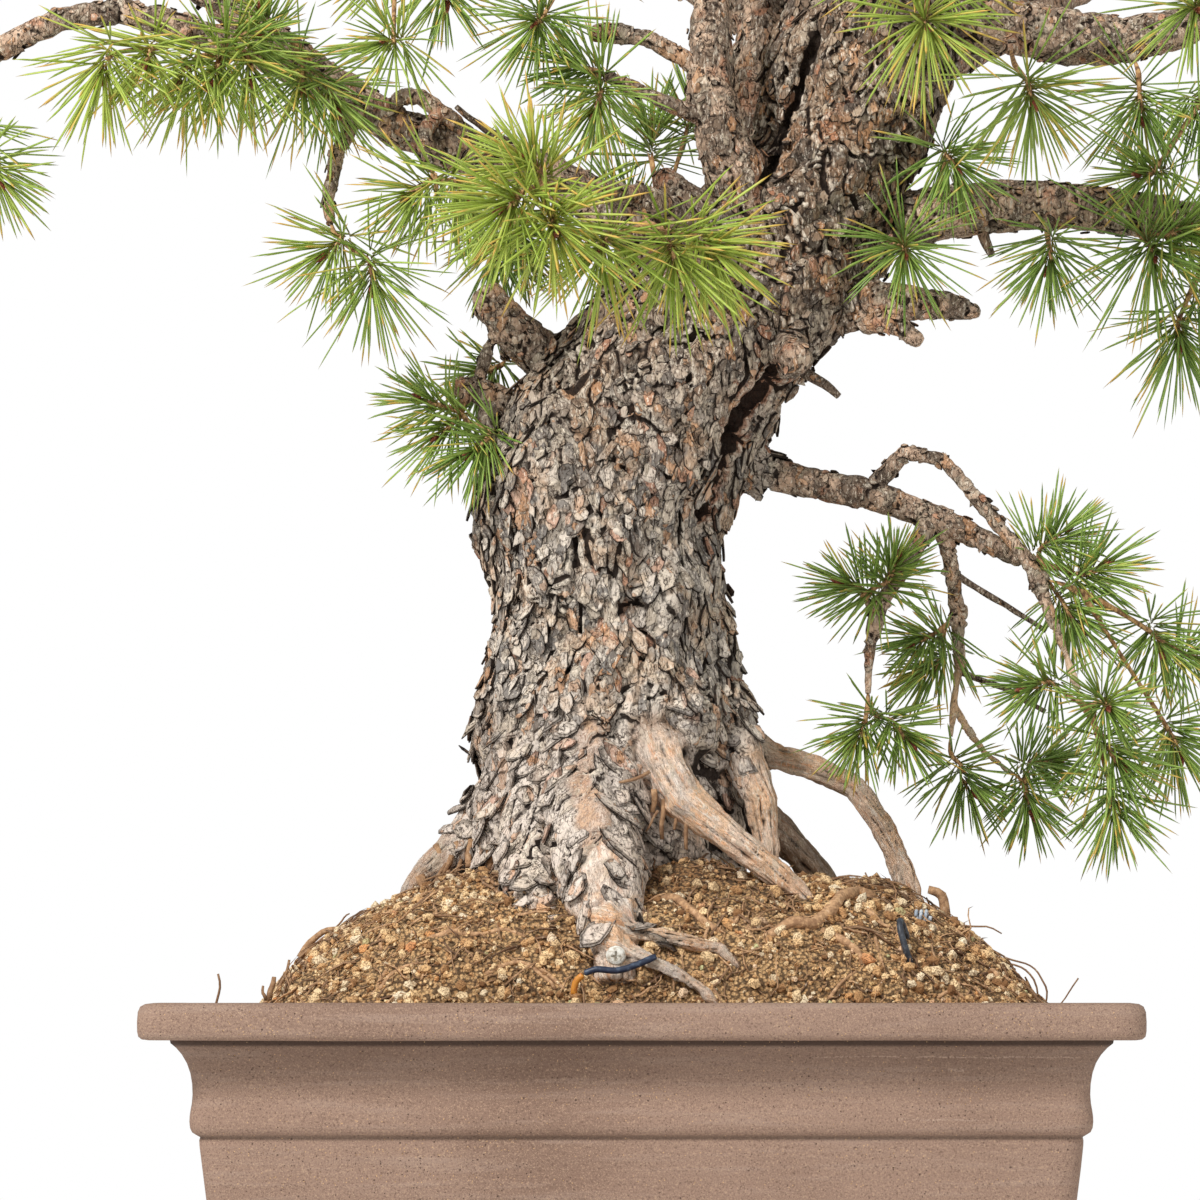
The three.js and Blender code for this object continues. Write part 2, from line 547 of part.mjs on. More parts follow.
function trunkSection(z) {
  let k = 0;
  while (k < TRUNK.length - 2 && z > TRUNK[k + 1][0]) {
    k++;
  }
  const t = (z - TRUNK[k][0]) / (TRUNK[k + 1][0] - TRUNK[k][0]);
  return [1, 2, 3, 4].map((c) => TRUNK[k][c] + (TRUNK[k + 1][c] - TRUNK[k][c]) * t);
}

// The trunk as level rings, so that its outline follows the measured sections
function trunk(grow = 0) {
  const steps = Math.round((TRUNK_TOP_Z - TRUNK_FOOT_Z) / TRUNK_RING_STEP);
  const rings = [];
  for (let i = 0; i <= steps; i++) {
    const z = TRUNK_FOOT_Z + ((TRUNK_TOP_Z - TRUNK_FOOT_Z) * i) / steps;
    const [cx, cy, rx, ry] = trunkSection(z);
    const ring = [];
    for (let s = 0; s < TRUNK_SIDES; s++) {
      const angle = (2 * Math.PI * s) / TRUNK_SIDES + i * TRUNK_TWIST;
      const [ox, oy] = [Math.cos(angle), Math.sin(angle)];
      const [x, y] = [cx + rx * ox, cy + ry * oy];
      const offset = grow + barkRelief(x, y, z, Math.max(0, -oy));
      ring.push(new THREE.Vector3(x + offset * ox, y + offset * oy, i === 0 ? z - grow : z));
    }
    rings.push(ring);
  }
  return solid(skin(rings));
}

// Pot
function roundedRing(halfX, halfY, corner, z, steps = 3) {
  const ring = [];
  const turns = [[1, 1, 0], [-1, 1, 1], [-1, -1, 2], [1, -1, 3]];
  for (const [sx, sy, quarter] of turns) {
    for (let s = 0; s <= steps; s++) {
      const angle = (Math.PI / 2) * (quarter + s / steps);
      const x = sx * (halfX - corner) + corner * Math.cos(angle);
      const y = sy * (halfY - corner) + corner * Math.sin(angle);
      ring.push(new THREE.Vector3(x, y, z));
    }
  }
  return ring;
}

const loft = (profile) => solid(skin(profile.map((p) => roundedRing(...p))));

const INNER_WALL = [[184, 130, 8, FLOOR_Z], [199, 144, 8, 130], [204, 149, 8, POT_HEIGHT]];

function pot() {
  const under = POT_HEIGHT - RIM_THICKNESS;
  const outer = loft([
    [195, 141, 8, UNDERSIDE_Z],
    [205, 151, 9, 82],
    [208.5, 154.5, 9, 113],
    [212, 158, 10, 114.5],
    [212, 158, 10, 125.5],
    [210, 156, 10, 127.5],
    [211.5, 157.5, 10, 138],
    [216, 162, 10, 149],
    [222, 168, 10, under - 1],
    [231, 176, 10, under],
    [RIM_HALF_X, RIM_HALF_Y, 11, under + 4],
    [RIM_HALF_X, RIM_HALF_Y, 11, POT_HEIGHT - 3.5],
    [RIM_HALF_X - 4, RIM_HALF_Y - 4, 9, POT_HEIGHT],
  ]);
  const [top] = INNER_WALL.slice(-1);
  const inner = loft([...INNER_WALL.slice(0, 2), [top[0], top[1], top[2], top[3] - 3],
    [207, 152, 10, POT_HEIGHT + 1]]);
  const cuts = [inner];
  for (const side of [-1, 1]) {
    cuts.push(drum(DRAIN_RADIUS, DRAIN_RADIUS, 5, 35, 20).translate([side * DRAIN_X, 0, 0]));
  }
  return Manifold.difference([Manifold.union([outer, ...feet()]), ...cuts]);
}

function feet() {
  const pads = [];
  for (const sx of [-1, 1]) {
    for (const sy of [-1, 1]) {
      const pad = loft([[26, 18, 5, 0, 1], [31, 22, 6, UNDERSIDE_Z + 2, 1]]);
      pads.push(pad.translate([sx * 158, sy * 112, 0]));
    }
  }
  return pads;
}

// A flat plastic screen over one drain hole
function drainScreen(side) {
  const half = SCREEN_SIDE / 2;
  const x = side * DRAIN_X;
  const bottom = FLOOR_Z + GAP;
  const plate = box(x - half, -half, bottom, x + half, half, bottom + SCREEN_THICKNESS);
  const slots = [];
  for (const row of [-1, 0, 1]) {
    slots.push(box(x - half + 7, row * 11 - 3, bottom - 1, x + half - 7, row * 11 + 3, bottom + 3));
  }
  return Manifold.difference([plate, ...slots]);
}

function moundHeight(x, y) {
  const [u, v] = [Math.abs(x - MOUND_SHIFT_X) / MOUND_HALF_X, Math.abs(y) / MOUND_HALF_Y];
  const rim = Math.min(1, u ** 3.6 + v ** 3.6);
  return MOUND_EDGE_Z + MOUND_RISE * (1 - rim) ** 0.85;
}

// Soil that fills the pot and rises to a mound of coarse grains
function soilFill() {
  const wall = (halfX, halfY, z) => roundedRing(halfX - GAP, halfY - GAP, 8, z);
  const rings = [wall(184, 130, FLOOR_Z + GAP), wall(199, 144, 130)];
  const edge = wall(203.2, 148.2, MOUND_EDGE_Z - 1);
  const rim = [];
  for (let s = 0; s < edge.length; s++) {
    const next = edge[(s + 1) % edge.length];
    const pieces = Math.ceil(edge[s].distanceTo(next) / 50);
    for (let p = 0; p < pieces; p++) {
      rim.push(edge[s].clone().lerp(next, p / pieces));
    }
  }
  const lower = rings.map((ring) => rim.map((point, s) => lowerWallPoint(point, ring[0].z)));
  const dome = [1, 0.955, 0.9, 0.83, 0.73, 0.6, 0.4].map((scale) => rim.map((p) => {
    const [x, y] = [p.x * scale, p.y * scale];
    const grains = scale === 1 ? 0 : 2.4 * noise(x / 7, y / 7, 3) + 2 * noise(x / 17, y / 17, 8);
    return new THREE.Vector3(x, y, scale === 1 ? p.z : moundHeight(x, y) + grains);
  }));
  return solid(skin([...lower, ...dome]));
}

// The point under a rim point on the sloping inner wall, one gap inside it
function lowerWallPoint(point, z) {
  const k = z < 130 ? 0 : 1;
  const [low, high] = [INNER_WALL[k], INNER_WALL[k + 1]];
  const t = (z - low[3]) / (high[3] - low[3]);
  const halfX = low[0] + (high[0] - low[0]) * t - GAP;
  const halfY = low[1] + (high[1] - low[1]) * t - GAP;
  return new THREE.Vector3((point.x / (203.2 - GAP)) * halfX, (point.y / (148.2 - GAP)) * halfY, z);
}

// Clearance between needles, twigs and limbs
const taken = [];

function segmentDistance(p, q, a, b) {
  const [d1, d2, r] = [q.clone().sub(p), b.clone().sub(a), p.clone().sub(a)];
  const [aa, ee, f, c, bb] = [d1.dot(d1), d2.dot(d2), d2.dot(r), d1.dot(r), d1.dot(d2)];
  const clamp = (t) => Math.min(1, Math.max(0, t));
  const denom = aa * ee - bb * bb;
  let s = denom > 1e-9 ? clamp((bb * f - c * ee) / denom) : 0;
  let t = (bb * s + f) / ee;
  if (t < 0 || t > 1) {
    t = clamp(t);
    s = clamp((bb * t - c) / aa);
  }
  return d1.multiplyScalar(s).add(p).distanceTo(d2.multiplyScalar(t).add(a));
}

function isFree(p, q, owner) {
  for (const other of taken) {
    if (other.owner === owner) {
      continue;
    }
    const reach = other.reach + NEEDLE_CLEARANCE;
    if (other.middle.distanceTo(p) > other.half + reach + p.distanceTo(q)) {
      continue;
    }
    if (segmentDistance(p, q, other.a, other.b) < reach) {
      return false;
    }
  }
  for (let i = 0; i <= 6; i++) {
    const at = p.clone().lerp(q, i / 6);
    if (at.z < TRUNK_TOP_Z && at.z > 150) {
      const [cx, cy, rx, ry] = trunkSection(Math.max(at.z, TRUNK_FOOT_Z));
      if (Math.hypot((at.x - cx) / (rx + 9), (at.y - cy) / (ry + 9)) < 1) {
        return false;
      }
    }
  }
  return true;
}

function take(a, b, reach, owner) {
  taken.push({ a, b, reach, owner, middle: a.clone().lerp(b, 0.5), half: a.distanceTo(b) / 2 });
}

function takeRoute(route, owner, extra) {
  for (let i = 0; i + 1 < route.length; i++) {
    take(vec(route[i]), vec(route[i + 1]), Math.max(route[i][3], route[i + 1][3]) * 1.16 + extra, owner);
  }
}

// A spray under construction: one closed skin of points and faces
function emptySkin() {
  return { points: [], faces: [] };
}

const middleOf = (shape, face) => {
  return face.reduce((sum, v) => sum.add(shape.points[v]), new THREE.Vector3()).divideScalar(3);
};

// Three points around a centre, turned to lie in line with the three points they follow
function addRing(shape, at, heading, radius, follow) {
  const lead = new THREE.Vector3(0.3, 0.2, 0.93);
  if (follow) {
    lead.copy(shape.points[follow[0]]).sub(middleOf(shape, follow));
  }
  const side = lead.addScaledVector(heading, -lead.dot(heading)).normalize();
  const across = heading.clone().cross(side);
  return [0, 1, 2].map((s) => {
    const angle = (2 * Math.PI * s) / 3;
    const out = side.clone().multiplyScalar(Math.cos(angle)).addScaledVector(across, Math.sin(angle));
    return shape.points.push(at.clone().addScaledVector(out, radius)) - 1;
  });
}

function band(low, high) {
  return [0, 1, 2].flatMap((s) => {
    const next = (s + 1) % 3;
    return [[low[s], low[next], high[next]], [low[s], high[next], high[s]]];
  });
}

// A twig's slim end with most of its faces drawn out to one tapering needle each
function addTuft(shape, from, tuft, rows, owner, random) {
  const heading = vec(tuft.slice(3, 6)).normalize();
  const centre = vec(tuft);
  const station = (along, radius, ring) => {
    return addRing(shape, centre.clone().addScaledVector(heading, along), heading, radius, ring);
  };
  let ring = station(-6, NEEDLE_CORE_RADIUS * 0.9, from);
  shape.faces.push(...band(from, ring));
  const core = [];
  for (let row = 0; row < rows; row++) {
    const next = station(-6 + 5.5 * (row + 1), NEEDLE_CORE_RADIUS * (1 - 0.1 * row), ring);
    core.push(...band(ring, next));
    ring = next;
  }
  const tip = shape.points.push(centre.clone().addScaledVector(heading, -6 + 5.5 * rows + 4.5)) - 1;
  ring.forEach((v, s) => core.push([v, ring[(s + 1) % 3], tip]));
  const grown = [];
  for (const face of core) {
    const end = random() < NEEDLE_SHARE ? needleEnd(shape, face, tuft, owner, grown, random) : null;
    if (end === null) {
      shape.faces.push(face);
      continue;
    }
    const [a, b, c] = face;
    const point = shape.points.push(end) - 1;
    shape.faces.push([a, b, point], [b, c, point], [c, a, point]);
  }
}

function needleEnd(shape, face, tuft, owner, grown, random) {
  const heading = vec(tuft.slice(3, 6)).normalize();
  const base = middleOf(shape, face);
  const along = base.clone().sub(vec(tuft)).dot(heading);
  const out = base.clone().sub(vec(tuft)).addScaledVector(heading, -along).normalize();
  const forward = along < -2 ? 0.3 : along < 4 ? 0.75 : 1.6;
  for (let attempt = 0; attempt < 7; attempt++) {
    const loose = 0.25 + 0.08 * attempt;
    const jitter = new THREE.Vector3(random() - 0.5, random() - 0.5, random() - 0.65).multiplyScalar(loose);
    const way = out.clone().addScaledVector(heading, forward).normalize().add(jitter).normalize();
    const end = base.clone().addScaledVector(way, tuft[6] * (0.84 + 0.22 * random()));
    const start = base.clone().lerp(end, 0.08);
    if (isFree(start, end, owner) && grown.every(([p, q]) => segmentDistance(start, end, p, q) > 1)) {
      take(base, end, 0.6, owner);
      grown.push([start, end]);
      return end;
    }
  }
  return null;
}

// One closed spray: a twig from its seat to the first tuft, and from faces near its foot a twig to
// each other tuft
function spray({ name, seat, tufts, rows }, random) {
  const shape = emptySkin();
  const { start, fork, forkHeading } = forkOf({ seat, tufts });
  let ring = addRing(shape, start, seat.heading, seat.radius, null);
  shape.faces.push([ring[2], ring[1], ring[0]]);
  const forkFaces = [];
  const forkBands = Math.max(1, Math.ceil((tufts.length - 1) / 2));
  for (let i = 0; i <= forkBands; i++) {
    const at = fork.clone().addScaledVector(forkHeading, 5 * (i - forkBands / 2));
    const next = addRing(shape, at, forkHeading, seat.radius * 0.9, ring);
    (i === 0 ? shape.faces : forkFaces).push(...band(ring, next));
    ring = next;
  }
  tufts.slice(1).forEach((tuft, k) => {
    const towards = vec(tuft).sub(fork).normalize();
    const fit = (face) => {
      const [a, b, c] = face.map((v) => shape.points[v]);
      const normal = b.clone().sub(a).cross(c.clone().sub(a)).normalize();
      return normal.dot(towards);
    };
    forkFaces.sort((a, b) => fit(b) - fit(a));
    const face = forkFaces.shift();
    const from = middleOf(shape, face);
    const heading = vec(tuft).sub(from).normalize();
    const elbow = from.addScaledVector(heading, vec(tuft).distanceTo(from) * 0.45);
    const bend = addRing(shape, elbow, heading, NEEDLE_CORE_RADIUS * 0.8, face);
    shape.faces.push(...band(face, bend));
    addTuft(shape, bend, tuft, rows, `${name} ${k + 1}`, random);
  });
  shape.faces.push(...forkFaces);
  addTuft(shape, ring, tufts[0], rows, `${name} 0`, random);
  return solid(shape);
}

function limbPoint(route, place) {
  const curve = new THREE.CatmullRomCurve3(route.map(vec), false, "centripetal");
  const index = Math.min(Math.floor(place * (route.length - 1)), route.length - 2);
  const radius = Math.max(route[index][3], route[index + 1][3]);
  return { at: curve.getPoint(place), heading: curve.getTangent(place), radius };
}

// Where a spray is seated: the end of a limb, or the end of a short spur on a limb's side
function seatOf(bearer) {
  if (typeof bearer === "string") {
    const route = LIMBS[bearer];
    const { at, heading } = limbPoint(route, 1);
    return { at, heading, radius: Math.min(route[route.length - 1][3], 2.6), spur: null };
  }
  const [from, to] = bearer.map(vec);
  const heading = to.clone().sub(from).normalize();
  return { at: to, heading, radius: 2.3, spur: [[...bearer[0], 3], [...bearer[1], 2.4]] };
}

// Tufts of an unseen spray, spread over a shallow pad around its seat
function crownTufts(seat, count, random) {
  const tufts = [];
  for (let k = 0; k < count; k++) {
    const angle = (2 * Math.PI * (k + 0.3 * random())) / count;
    const spread = k === 0 ? 0.2 : 1;
    const rise = 0.25 + 0.3 * random();
    const way = new THREE.Vector3(Math.cos(angle) * spread, Math.sin(angle) * spread, rise);
    way.addScaledVector(seat.heading, 1.1).normalize();
    const at = seat.at.clone().addScaledVector(way, 26 + 16 * random());
    tufts.push([at.x, at.y, at.z, way.x, way.y, way.z + 0.35, 38 + 8 * random()]);
  }
  return tufts;
}

function plannedSprays() {
  const plans = SPRAYS.map(([name, bearer, tufts]) => ({ name, seat: seatOf(bearer), tufts, rows: 2 }));
  CROWN.forEach(([name, limbName, place, count, aside], i) => {
    const random = randomFrom(900 + i);
    let bearer = limbName;
    if (place < 1) {
      const { at, radius } = limbPoint(LIMBS[limbName], place);
      const out = at.clone().addScaledVector(vec(aside).normalize(), radius * 1.16 + 5);
      bearer = [at.toArray(), out.toArray()];
    }
    const seat = seatOf(bearer);
    plans.push({ name, seat, tufts: crownTufts(seat, count, random), rows: 1 });
  });
  return plans;
}

// A spray's twig leaves its seat squarely, then forks a little way along
function forkOf({ seat, tufts }) {
  const start = seat.at.clone().addScaledVector(seat.heading, SEAT_GAP);
  const first = vec(tufts[0]);
  const reach = start.distanceTo(first);
  const fork = start.clone().addScaledVector(seat.heading, 4 + reach * 0.16).lerp(first, 0.14);
  return { start, fork, forkHeading: first.sub(fork).normalize() };
}

function sprays(plans) {
  for (const name of Object.keys(LIMBS)) {
    takeRoute(LIMBS[name], name, 1);
  }
  for (const plan of plans) {
    const { start, fork } = forkOf(plan);
    take(start, fork, 2.2, plan.name);
    plan.tufts.forEach((tuft, k) => take(fork, vec(tuft), 2, `${plan.name} ${k}`));
  }
  return plans.map((plan, i) => part(plan.name, spray(plan, randomFrom(100 + i)), "needle"));
}

// Pan-head screw with a cross recess; its shank enters the front root
const SCREW_SEAT = [-12, -129.5, 196.5];
const SCREW_TILT = 98;

function placeScrew(body) {
  return body.rotate([SCREW_TILT, 0, 0]).translate(SCREW_SEAT);
}

function screw() {
  const profile = [[0, GAP], [SCREW_HEAD_RADIUS, GAP], [SCREW_HEAD_RADIUS, 1.6], [3.9, 2.9], [2.4, 3.4],
    [0, 3.4]].map(([x, y]) => new THREE.Vector2(x, y));
  const head = solidOf(new THREE.LatheGeometry(profile, 20).rotateX(Math.PI / 2));
  const shank = drum(1.2, SCREW_SHANK_RADIUS, -14, 1, 12);
  const recess = [box(-2.4, -0.55, 1.9, 2.4, 0.55, 5), box(-0.55, -2.4, 1.9, 0.55, 2.4, 5)];
  return placeScrew(Manifold.difference([Manifold.union([head, shank]), ...recess]));
}

function screwRoom() {
  const holeRadius = SCREW_SHANK_RADIUS + GAP;
  const hole = drum(holeRadius, holeRadius, -14.5, 1.5, 12);
  const seat = drum(SCREW_HEAD_RADIUS + 0.4, SCREW_HEAD_RADIUS + 0.4, 0, 16, 20);
  return placeScrew(Manifold.union([hole, seat]));
}

// Insulated anchor wires that hold the roots
const WIRES = {
  anchor_wire_left: ["wire", [[7, -134, 196], [-2, -136, 192], [-12, -137, 189], [-21, -137, 190],
    [-26.8, -136.2, 187.9]]],
  wire_sleeve: ["sleeve", [[-27.5, -136, 187.2], [-31, -135, 184], [-32, -134, 178]]],
  anchor_wire_right: ["wire", [[128, -100, 205], [124, -108, 214], [124, -113, 208], [127, -112, 198],
    [130, -108, 190]]],
};

function wire(name, grow = 0) {
  const route = WIRES[name][1].map((p) => [...p, WIRE_RADIUS]);
  const frames = framesAlong(route, route.length * 2 - 1);
  frames[0].at.addScaledVector(frames[0].heading, -grow);
  frames[frames.length - 1].at.addScaledVector(frames[frames.length - 1].heading, grow);
  return solid(skin(frames.map((f) => ringAt(f, WIRE_RADIUS + grow, 8, 0))));
}

const plans = plannedSprays();
const spurs = plans.filter((plan) => plan.seat.spur).map((plan) => limb(plan.seat.spur, 0, 0.05));
const rootRoutes = Object.values(ROOTS);
const wireRooms = Object.keys(WIRES).map((name) => wire(name, 0.35));
const roots = rootRoutes.map((route) => limb(route));
const limbs = Object.values(LIMBS).map((route) => limb(route));
const grown = Manifold.union([trunk(), ...roots, ...limbs, ...spurs]);
const wood = mainBody(Manifold.difference([grown.simplify(0.7), screwRoom(), ...wireRooms]));
const rootRooms = [trunk(0.4), ...rootRoutes.map((route) => limb(route, 0.4))];
const screenRooms = [-1, 1].map((side) => {
  const half = SCREEN_SIDE / 2 + GAP;
  const top = FLOOR_Z + SCREEN_THICKNESS + 2 * GAP;
  return box(side * DRAIN_X - half, -half, FLOOR_Z, side * DRAIN_X + half, half, top);
});
const trimmedRooms = rootRooms.map((room) => room.simplify(0.25));
const rooms = [...trimmedRooms, screwRoom(), ...wireRooms, ...screenRooms];
const soil = mainBody(Manifold.difference([soilFill(), ...rooms]));

const bonsai = new THREE.Group();
bonsai.name = "scots_pine_bonsai";
bonsai.add(part("pot", pot(), "clay"));
bonsai.add(part("drain_screen_left", drainScreen(-1), "mesh"));
bonsai.add(part("drain_screen_right", drainScreen(1), "mesh"));
bonsai.add(part("soil", soil, "soil"));
bonsai.add(part("wood", wood, "bark"));
bonsai.add(part("anchor_screw", screw(), "screw"));
for (const name of Object.keys(WIRES)) {
  bonsai.add(part(name, wire(name), WIRES[name][0]));
}
for (const node of sprays(plans)) {
  bonsai.add(node);
}

export default bonsai;
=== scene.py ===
import itertools
import math

import bmesh
import bpy
import numpy as np
from bmesh.types import BMEdge, BMFace, BMVert
from mathutils import Matrix, Vector
from mathutils.bvhtree import BVHTree


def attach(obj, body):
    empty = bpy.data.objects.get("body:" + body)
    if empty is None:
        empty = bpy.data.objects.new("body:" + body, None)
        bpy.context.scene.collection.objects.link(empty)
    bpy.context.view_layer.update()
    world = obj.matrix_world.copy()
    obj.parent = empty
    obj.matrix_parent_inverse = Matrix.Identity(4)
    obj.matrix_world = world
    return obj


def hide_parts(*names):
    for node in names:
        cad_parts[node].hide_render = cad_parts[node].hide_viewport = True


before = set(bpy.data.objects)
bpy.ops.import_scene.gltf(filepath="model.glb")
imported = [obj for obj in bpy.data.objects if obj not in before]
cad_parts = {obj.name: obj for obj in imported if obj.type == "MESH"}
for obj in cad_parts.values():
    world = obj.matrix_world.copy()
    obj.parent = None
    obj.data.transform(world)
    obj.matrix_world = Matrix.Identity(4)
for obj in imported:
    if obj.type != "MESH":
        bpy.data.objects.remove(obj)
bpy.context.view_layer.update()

MM = 0.001
ROUND = 6.28

# Camera, read from the photograph: 1200 pixels across, half a millimetre each at the trunk
PHOTO_SIDE = 1200
PHOTO_FOCAL = 5200
HORIZON_ROW = 1005
CAMERA_PLACE = (-0.0195, -2.6, 0.173)
FLOOR_RADIUS = 1.9


# Random numbers and noise over space

def hashed(cell, seed):
    """Three random numbers in 0 to 1 for each whole-number cell."""
    i, j, k = (cell[..., axis].astype(np.int64).astype(np.uint32) for axis in range(3))
    mixed = i * np.uint32(73856093) ^ j * np.uint32(19349663) ^ k * np.uint32(83492791)
    mixed = mixed + np.uint32(seed * 7919 + 17)
    columns = []
    for multiplier in (2246822519, 3266489917, 668265263):
        value = (mixed ^ (mixed >> np.uint32(15))) * np.uint32(multiplier)
        value = (value ^ (value >> np.uint32(13))) * np.uint32(1274126177)
        columns.append(((value ^ (value >> np.uint32(16))) & np.uint32(0xFFFFFF)) / 16777216.0)
        mixed = value + np.uint32(974711)
    return np.stack(columns, -1).astype(np.float32)


def noise(points, size, seed=0):
    """Smooth noise, about -1 to 1; size is the width of its lumps."""
    place = (points / size).astype(np.float32)
    base = np.floor(place)
    inside = place - base
    ease = inside * inside * inside * (inside * (inside * 6 - 15) + 10)
    total = np.zeros(len(points), np.float32)
    for corner in itertools.product((0, 1), repeat=3):
        corner = np.array(corner, np.float32)
        slope = hashed(base + corner, seed) * 2 - 1
        weight = np.prod(np.where(corner > 0, ease, 1 - ease), axis=1)
        total += weight * ((inside - corner) * slope).sum(1)
    return total * 1.5


def smooth_step(low, high, value):
    part = np.clip((value - low) / (high - low), 0, 1)
    return part * part * (3 - 2 * part)


def bump(distance, reach):
    return np.exp(-((distance / reach) ** 2))


def distance_to_run(x, z, run):
    """Distance from each point to a broken line in the upright plane."""
    best = np.full(len(x), 1e9, np.float32)
    for (ax, az), (bx, bz) in zip(run, run[1:]):
        dx, dz = bx - ax, bz - az
        along = np.clip(((x - ax) * dx + (z - az) * dz) / (dx * dx + dz * dz), 0, 1)
        best = np.minimum(best, np.hypot(x - ax - along * dx, z - az - along * dz))
    return best


# Meshes and pieces

def with_settings(thing, **settings):
    for key, value in settings.items():
        setattr(thing, key, value)
    return thing


def linked(name, data):
    """A new object in the scene."""
    thing = bpy.data.objects.new(name, data)
    bpy.context.scene.collection.objects.link(thing)
    return thing


def baked(holder):
    """The mesh that a helper object shows, after which the helper goes."""
    ready = holder.evaluated_get(bpy.context.evaluated_depsgraph_get())
    mesh = bpy.data.meshes.new_from_object(ready)
    bpy.data.objects.remove(holder)
    return mesh


def modified(mesh, kind, **settings):
    """The mesh, or a helper object's mesh, after one modifier."""
    holder = mesh if isinstance(mesh, bpy.types.Object) else linked("holder", mesh)
    with_settings(holder.modifiers.new(kind.lower(), kind), **settings)
    return baked(holder)


def shape_of(mesh):
    shape = bmesh.new()
    shape.from_mesh(mesh)
    return shape


def merged_copy(name):
    """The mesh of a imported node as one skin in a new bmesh."""
    shape = shape_of(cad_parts[name].data)
    bmesh.ops.remove_doubles(shape, verts=shape.verts, dist=1e-6)
    return shape


def mesh_from(shape, name):
    mesh = bpy.data.meshes.new(name)
    shape.to_mesh(mesh)
    shape.free()
    return mesh


def skin_of(shape):
    """A skin to look places up on, from a bmesh that is then done with."""
    skin = BVHTree.FromBMesh(shape)
    shape.free()
    return skin


def piece_of(mesh, name, material, replaced=(), smooth=True):
    """A finished piece of the tree or its pot."""
    piece = linked(name, mesh)
    mesh.materials.clear()
    mesh.materials.append(material)
    mesh.polygons.foreach_set("use_smooth", [smooth] * len(mesh.polygons))
    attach(piece, "root")
    if replaced:
        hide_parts(*replaced)
    return piece


def only(kind, geometry):
    return [item for item in geometry if isinstance(item, kind)]


def grown_rim(shape, rim):
    """The edges and vertices of a new ring raised from a rim."""
    grown = bmesh.ops.extrude_edge_only(shape, edges=rim)["geom"]
    return only(BMEdge, grown), only(BMVert, grown)


def cut_level(shape, level, side):
    """Cuts off what lies above a level (side 1) or below it (side -1), and closes the cut."""
    everything = shape.verts[:] + shape.edges[:] + shape.faces[:]
    cut = bmesh.ops.bisect_plane(shape, geom=everything, plane_co=(0, 0, level), plane_no=(0, 0, side),
                                 clear_outer=True)
    bmesh.ops.holes_fill(shape, edges=only(BMEdge, cut["geom_cut"]))


def roughened(verts, low, high, random):
    for vert in verts:
        vert.co *= random.uniform(low, high)


def rows_of(items, entry, width=3, kind=np.float32):
    """One entry of every vertex, edge or face, a row each."""
    flat = np.empty(len(items) * width, kind)
    items.foreach_get(entry, flat)
    return flat.reshape(-1, width)


def places(mesh):
    """Vertex places in millimetres."""
    return rows_of(mesh.vertices, "co") / MM


def set_places(mesh, points):
    mesh.vertices.foreach_set("co", (points * MM).astype(np.float32).ravel())
    mesh.update()


def vertex_normals(mesh):
    return rows_of(mesh.vertex_normals, "vector")


def store(mesh, name, values):
    flat = np.asarray(values, np.float32)
    kind, entry = ("FLOAT_VECTOR", "vector") if flat.ndim == 2 else ("FLOAT", "value")
    mesh.attributes.new(name, kind, "POINT").data.foreach_set(entry, flat.ravel())


def copies(unit, frames, values, bend=None, wave=None):
    """Many placed copies of a small mesh in one mesh, each with its own stored numbers.

    The unit is in millimetres. frames is (count, 3, 4), values holds arrays of (count,), bend adds to each
    copy a shift that grows with the square of the unit's height, and wave one that swings along it."""
    points = places(unit) * MM
    count, size = len(frames), len(points)
    mesh = modified(unit, "ARRAY", count=count, use_relative_offset=False)
    placed = np.einsum("nij,kj->nki", frames[:, :, :3], points) + frames[:, None, :, 3]
    if bend is not None:
        placed += bend[:, None, :] * (points[:, 2] ** 2)[None, :, None]
    if wave is not None:
        placed += wave[:, None, :] * np.sin(points[:, 2] * 7.5)[None, :, None]
    set_places(mesh, placed.reshape(-1, 3))
    for name, column in values.items():
        store(mesh, name, np.repeat(column, size))
    return mesh


def joined(meshes, name):
    """Several meshes with the same stored values as one."""
    holders = [linked(name, mesh) for mesh in meshes]
    with bpy.context.temp_override(active_object=holders[0], object=holders[0],
                                   selected_objects=holders, selected_editable_objects=holders):
        bpy.ops.object.join()
    mesh = holders[0].data
    bpy.data.objects.remove(holders[0])
    return mesh


def aim(directions, sizes, places_mm, turns):
    """Frames whose z axis runs along each direction: sizes is (count, 3), turns in radians."""
    z = directions / np.linalg.norm(directions, axis=1, keepdims=True)
    helper = np.where(np.abs(z[:, 2:3]) > 0.9, np.array([[1.0, 0, 0]]), np.array([[0, 0, 1.0]]))
    x = np.cross(helper, z)
    x /= np.linalg.norm(x, axis=1, keepdims=True)
    y = np.cross(z, x)
    cos, sin = np.cos(turns)[:, None], np.sin(turns)[:, None]
    x, y = x * cos + y * sin, y * cos - x * sin
    columns = np.stack([x * sizes[:, 0:1], y * sizes[:, 1:2], z * sizes[:, 2:3], places_mm], axis=2)
    return columns.astype(np.float32)


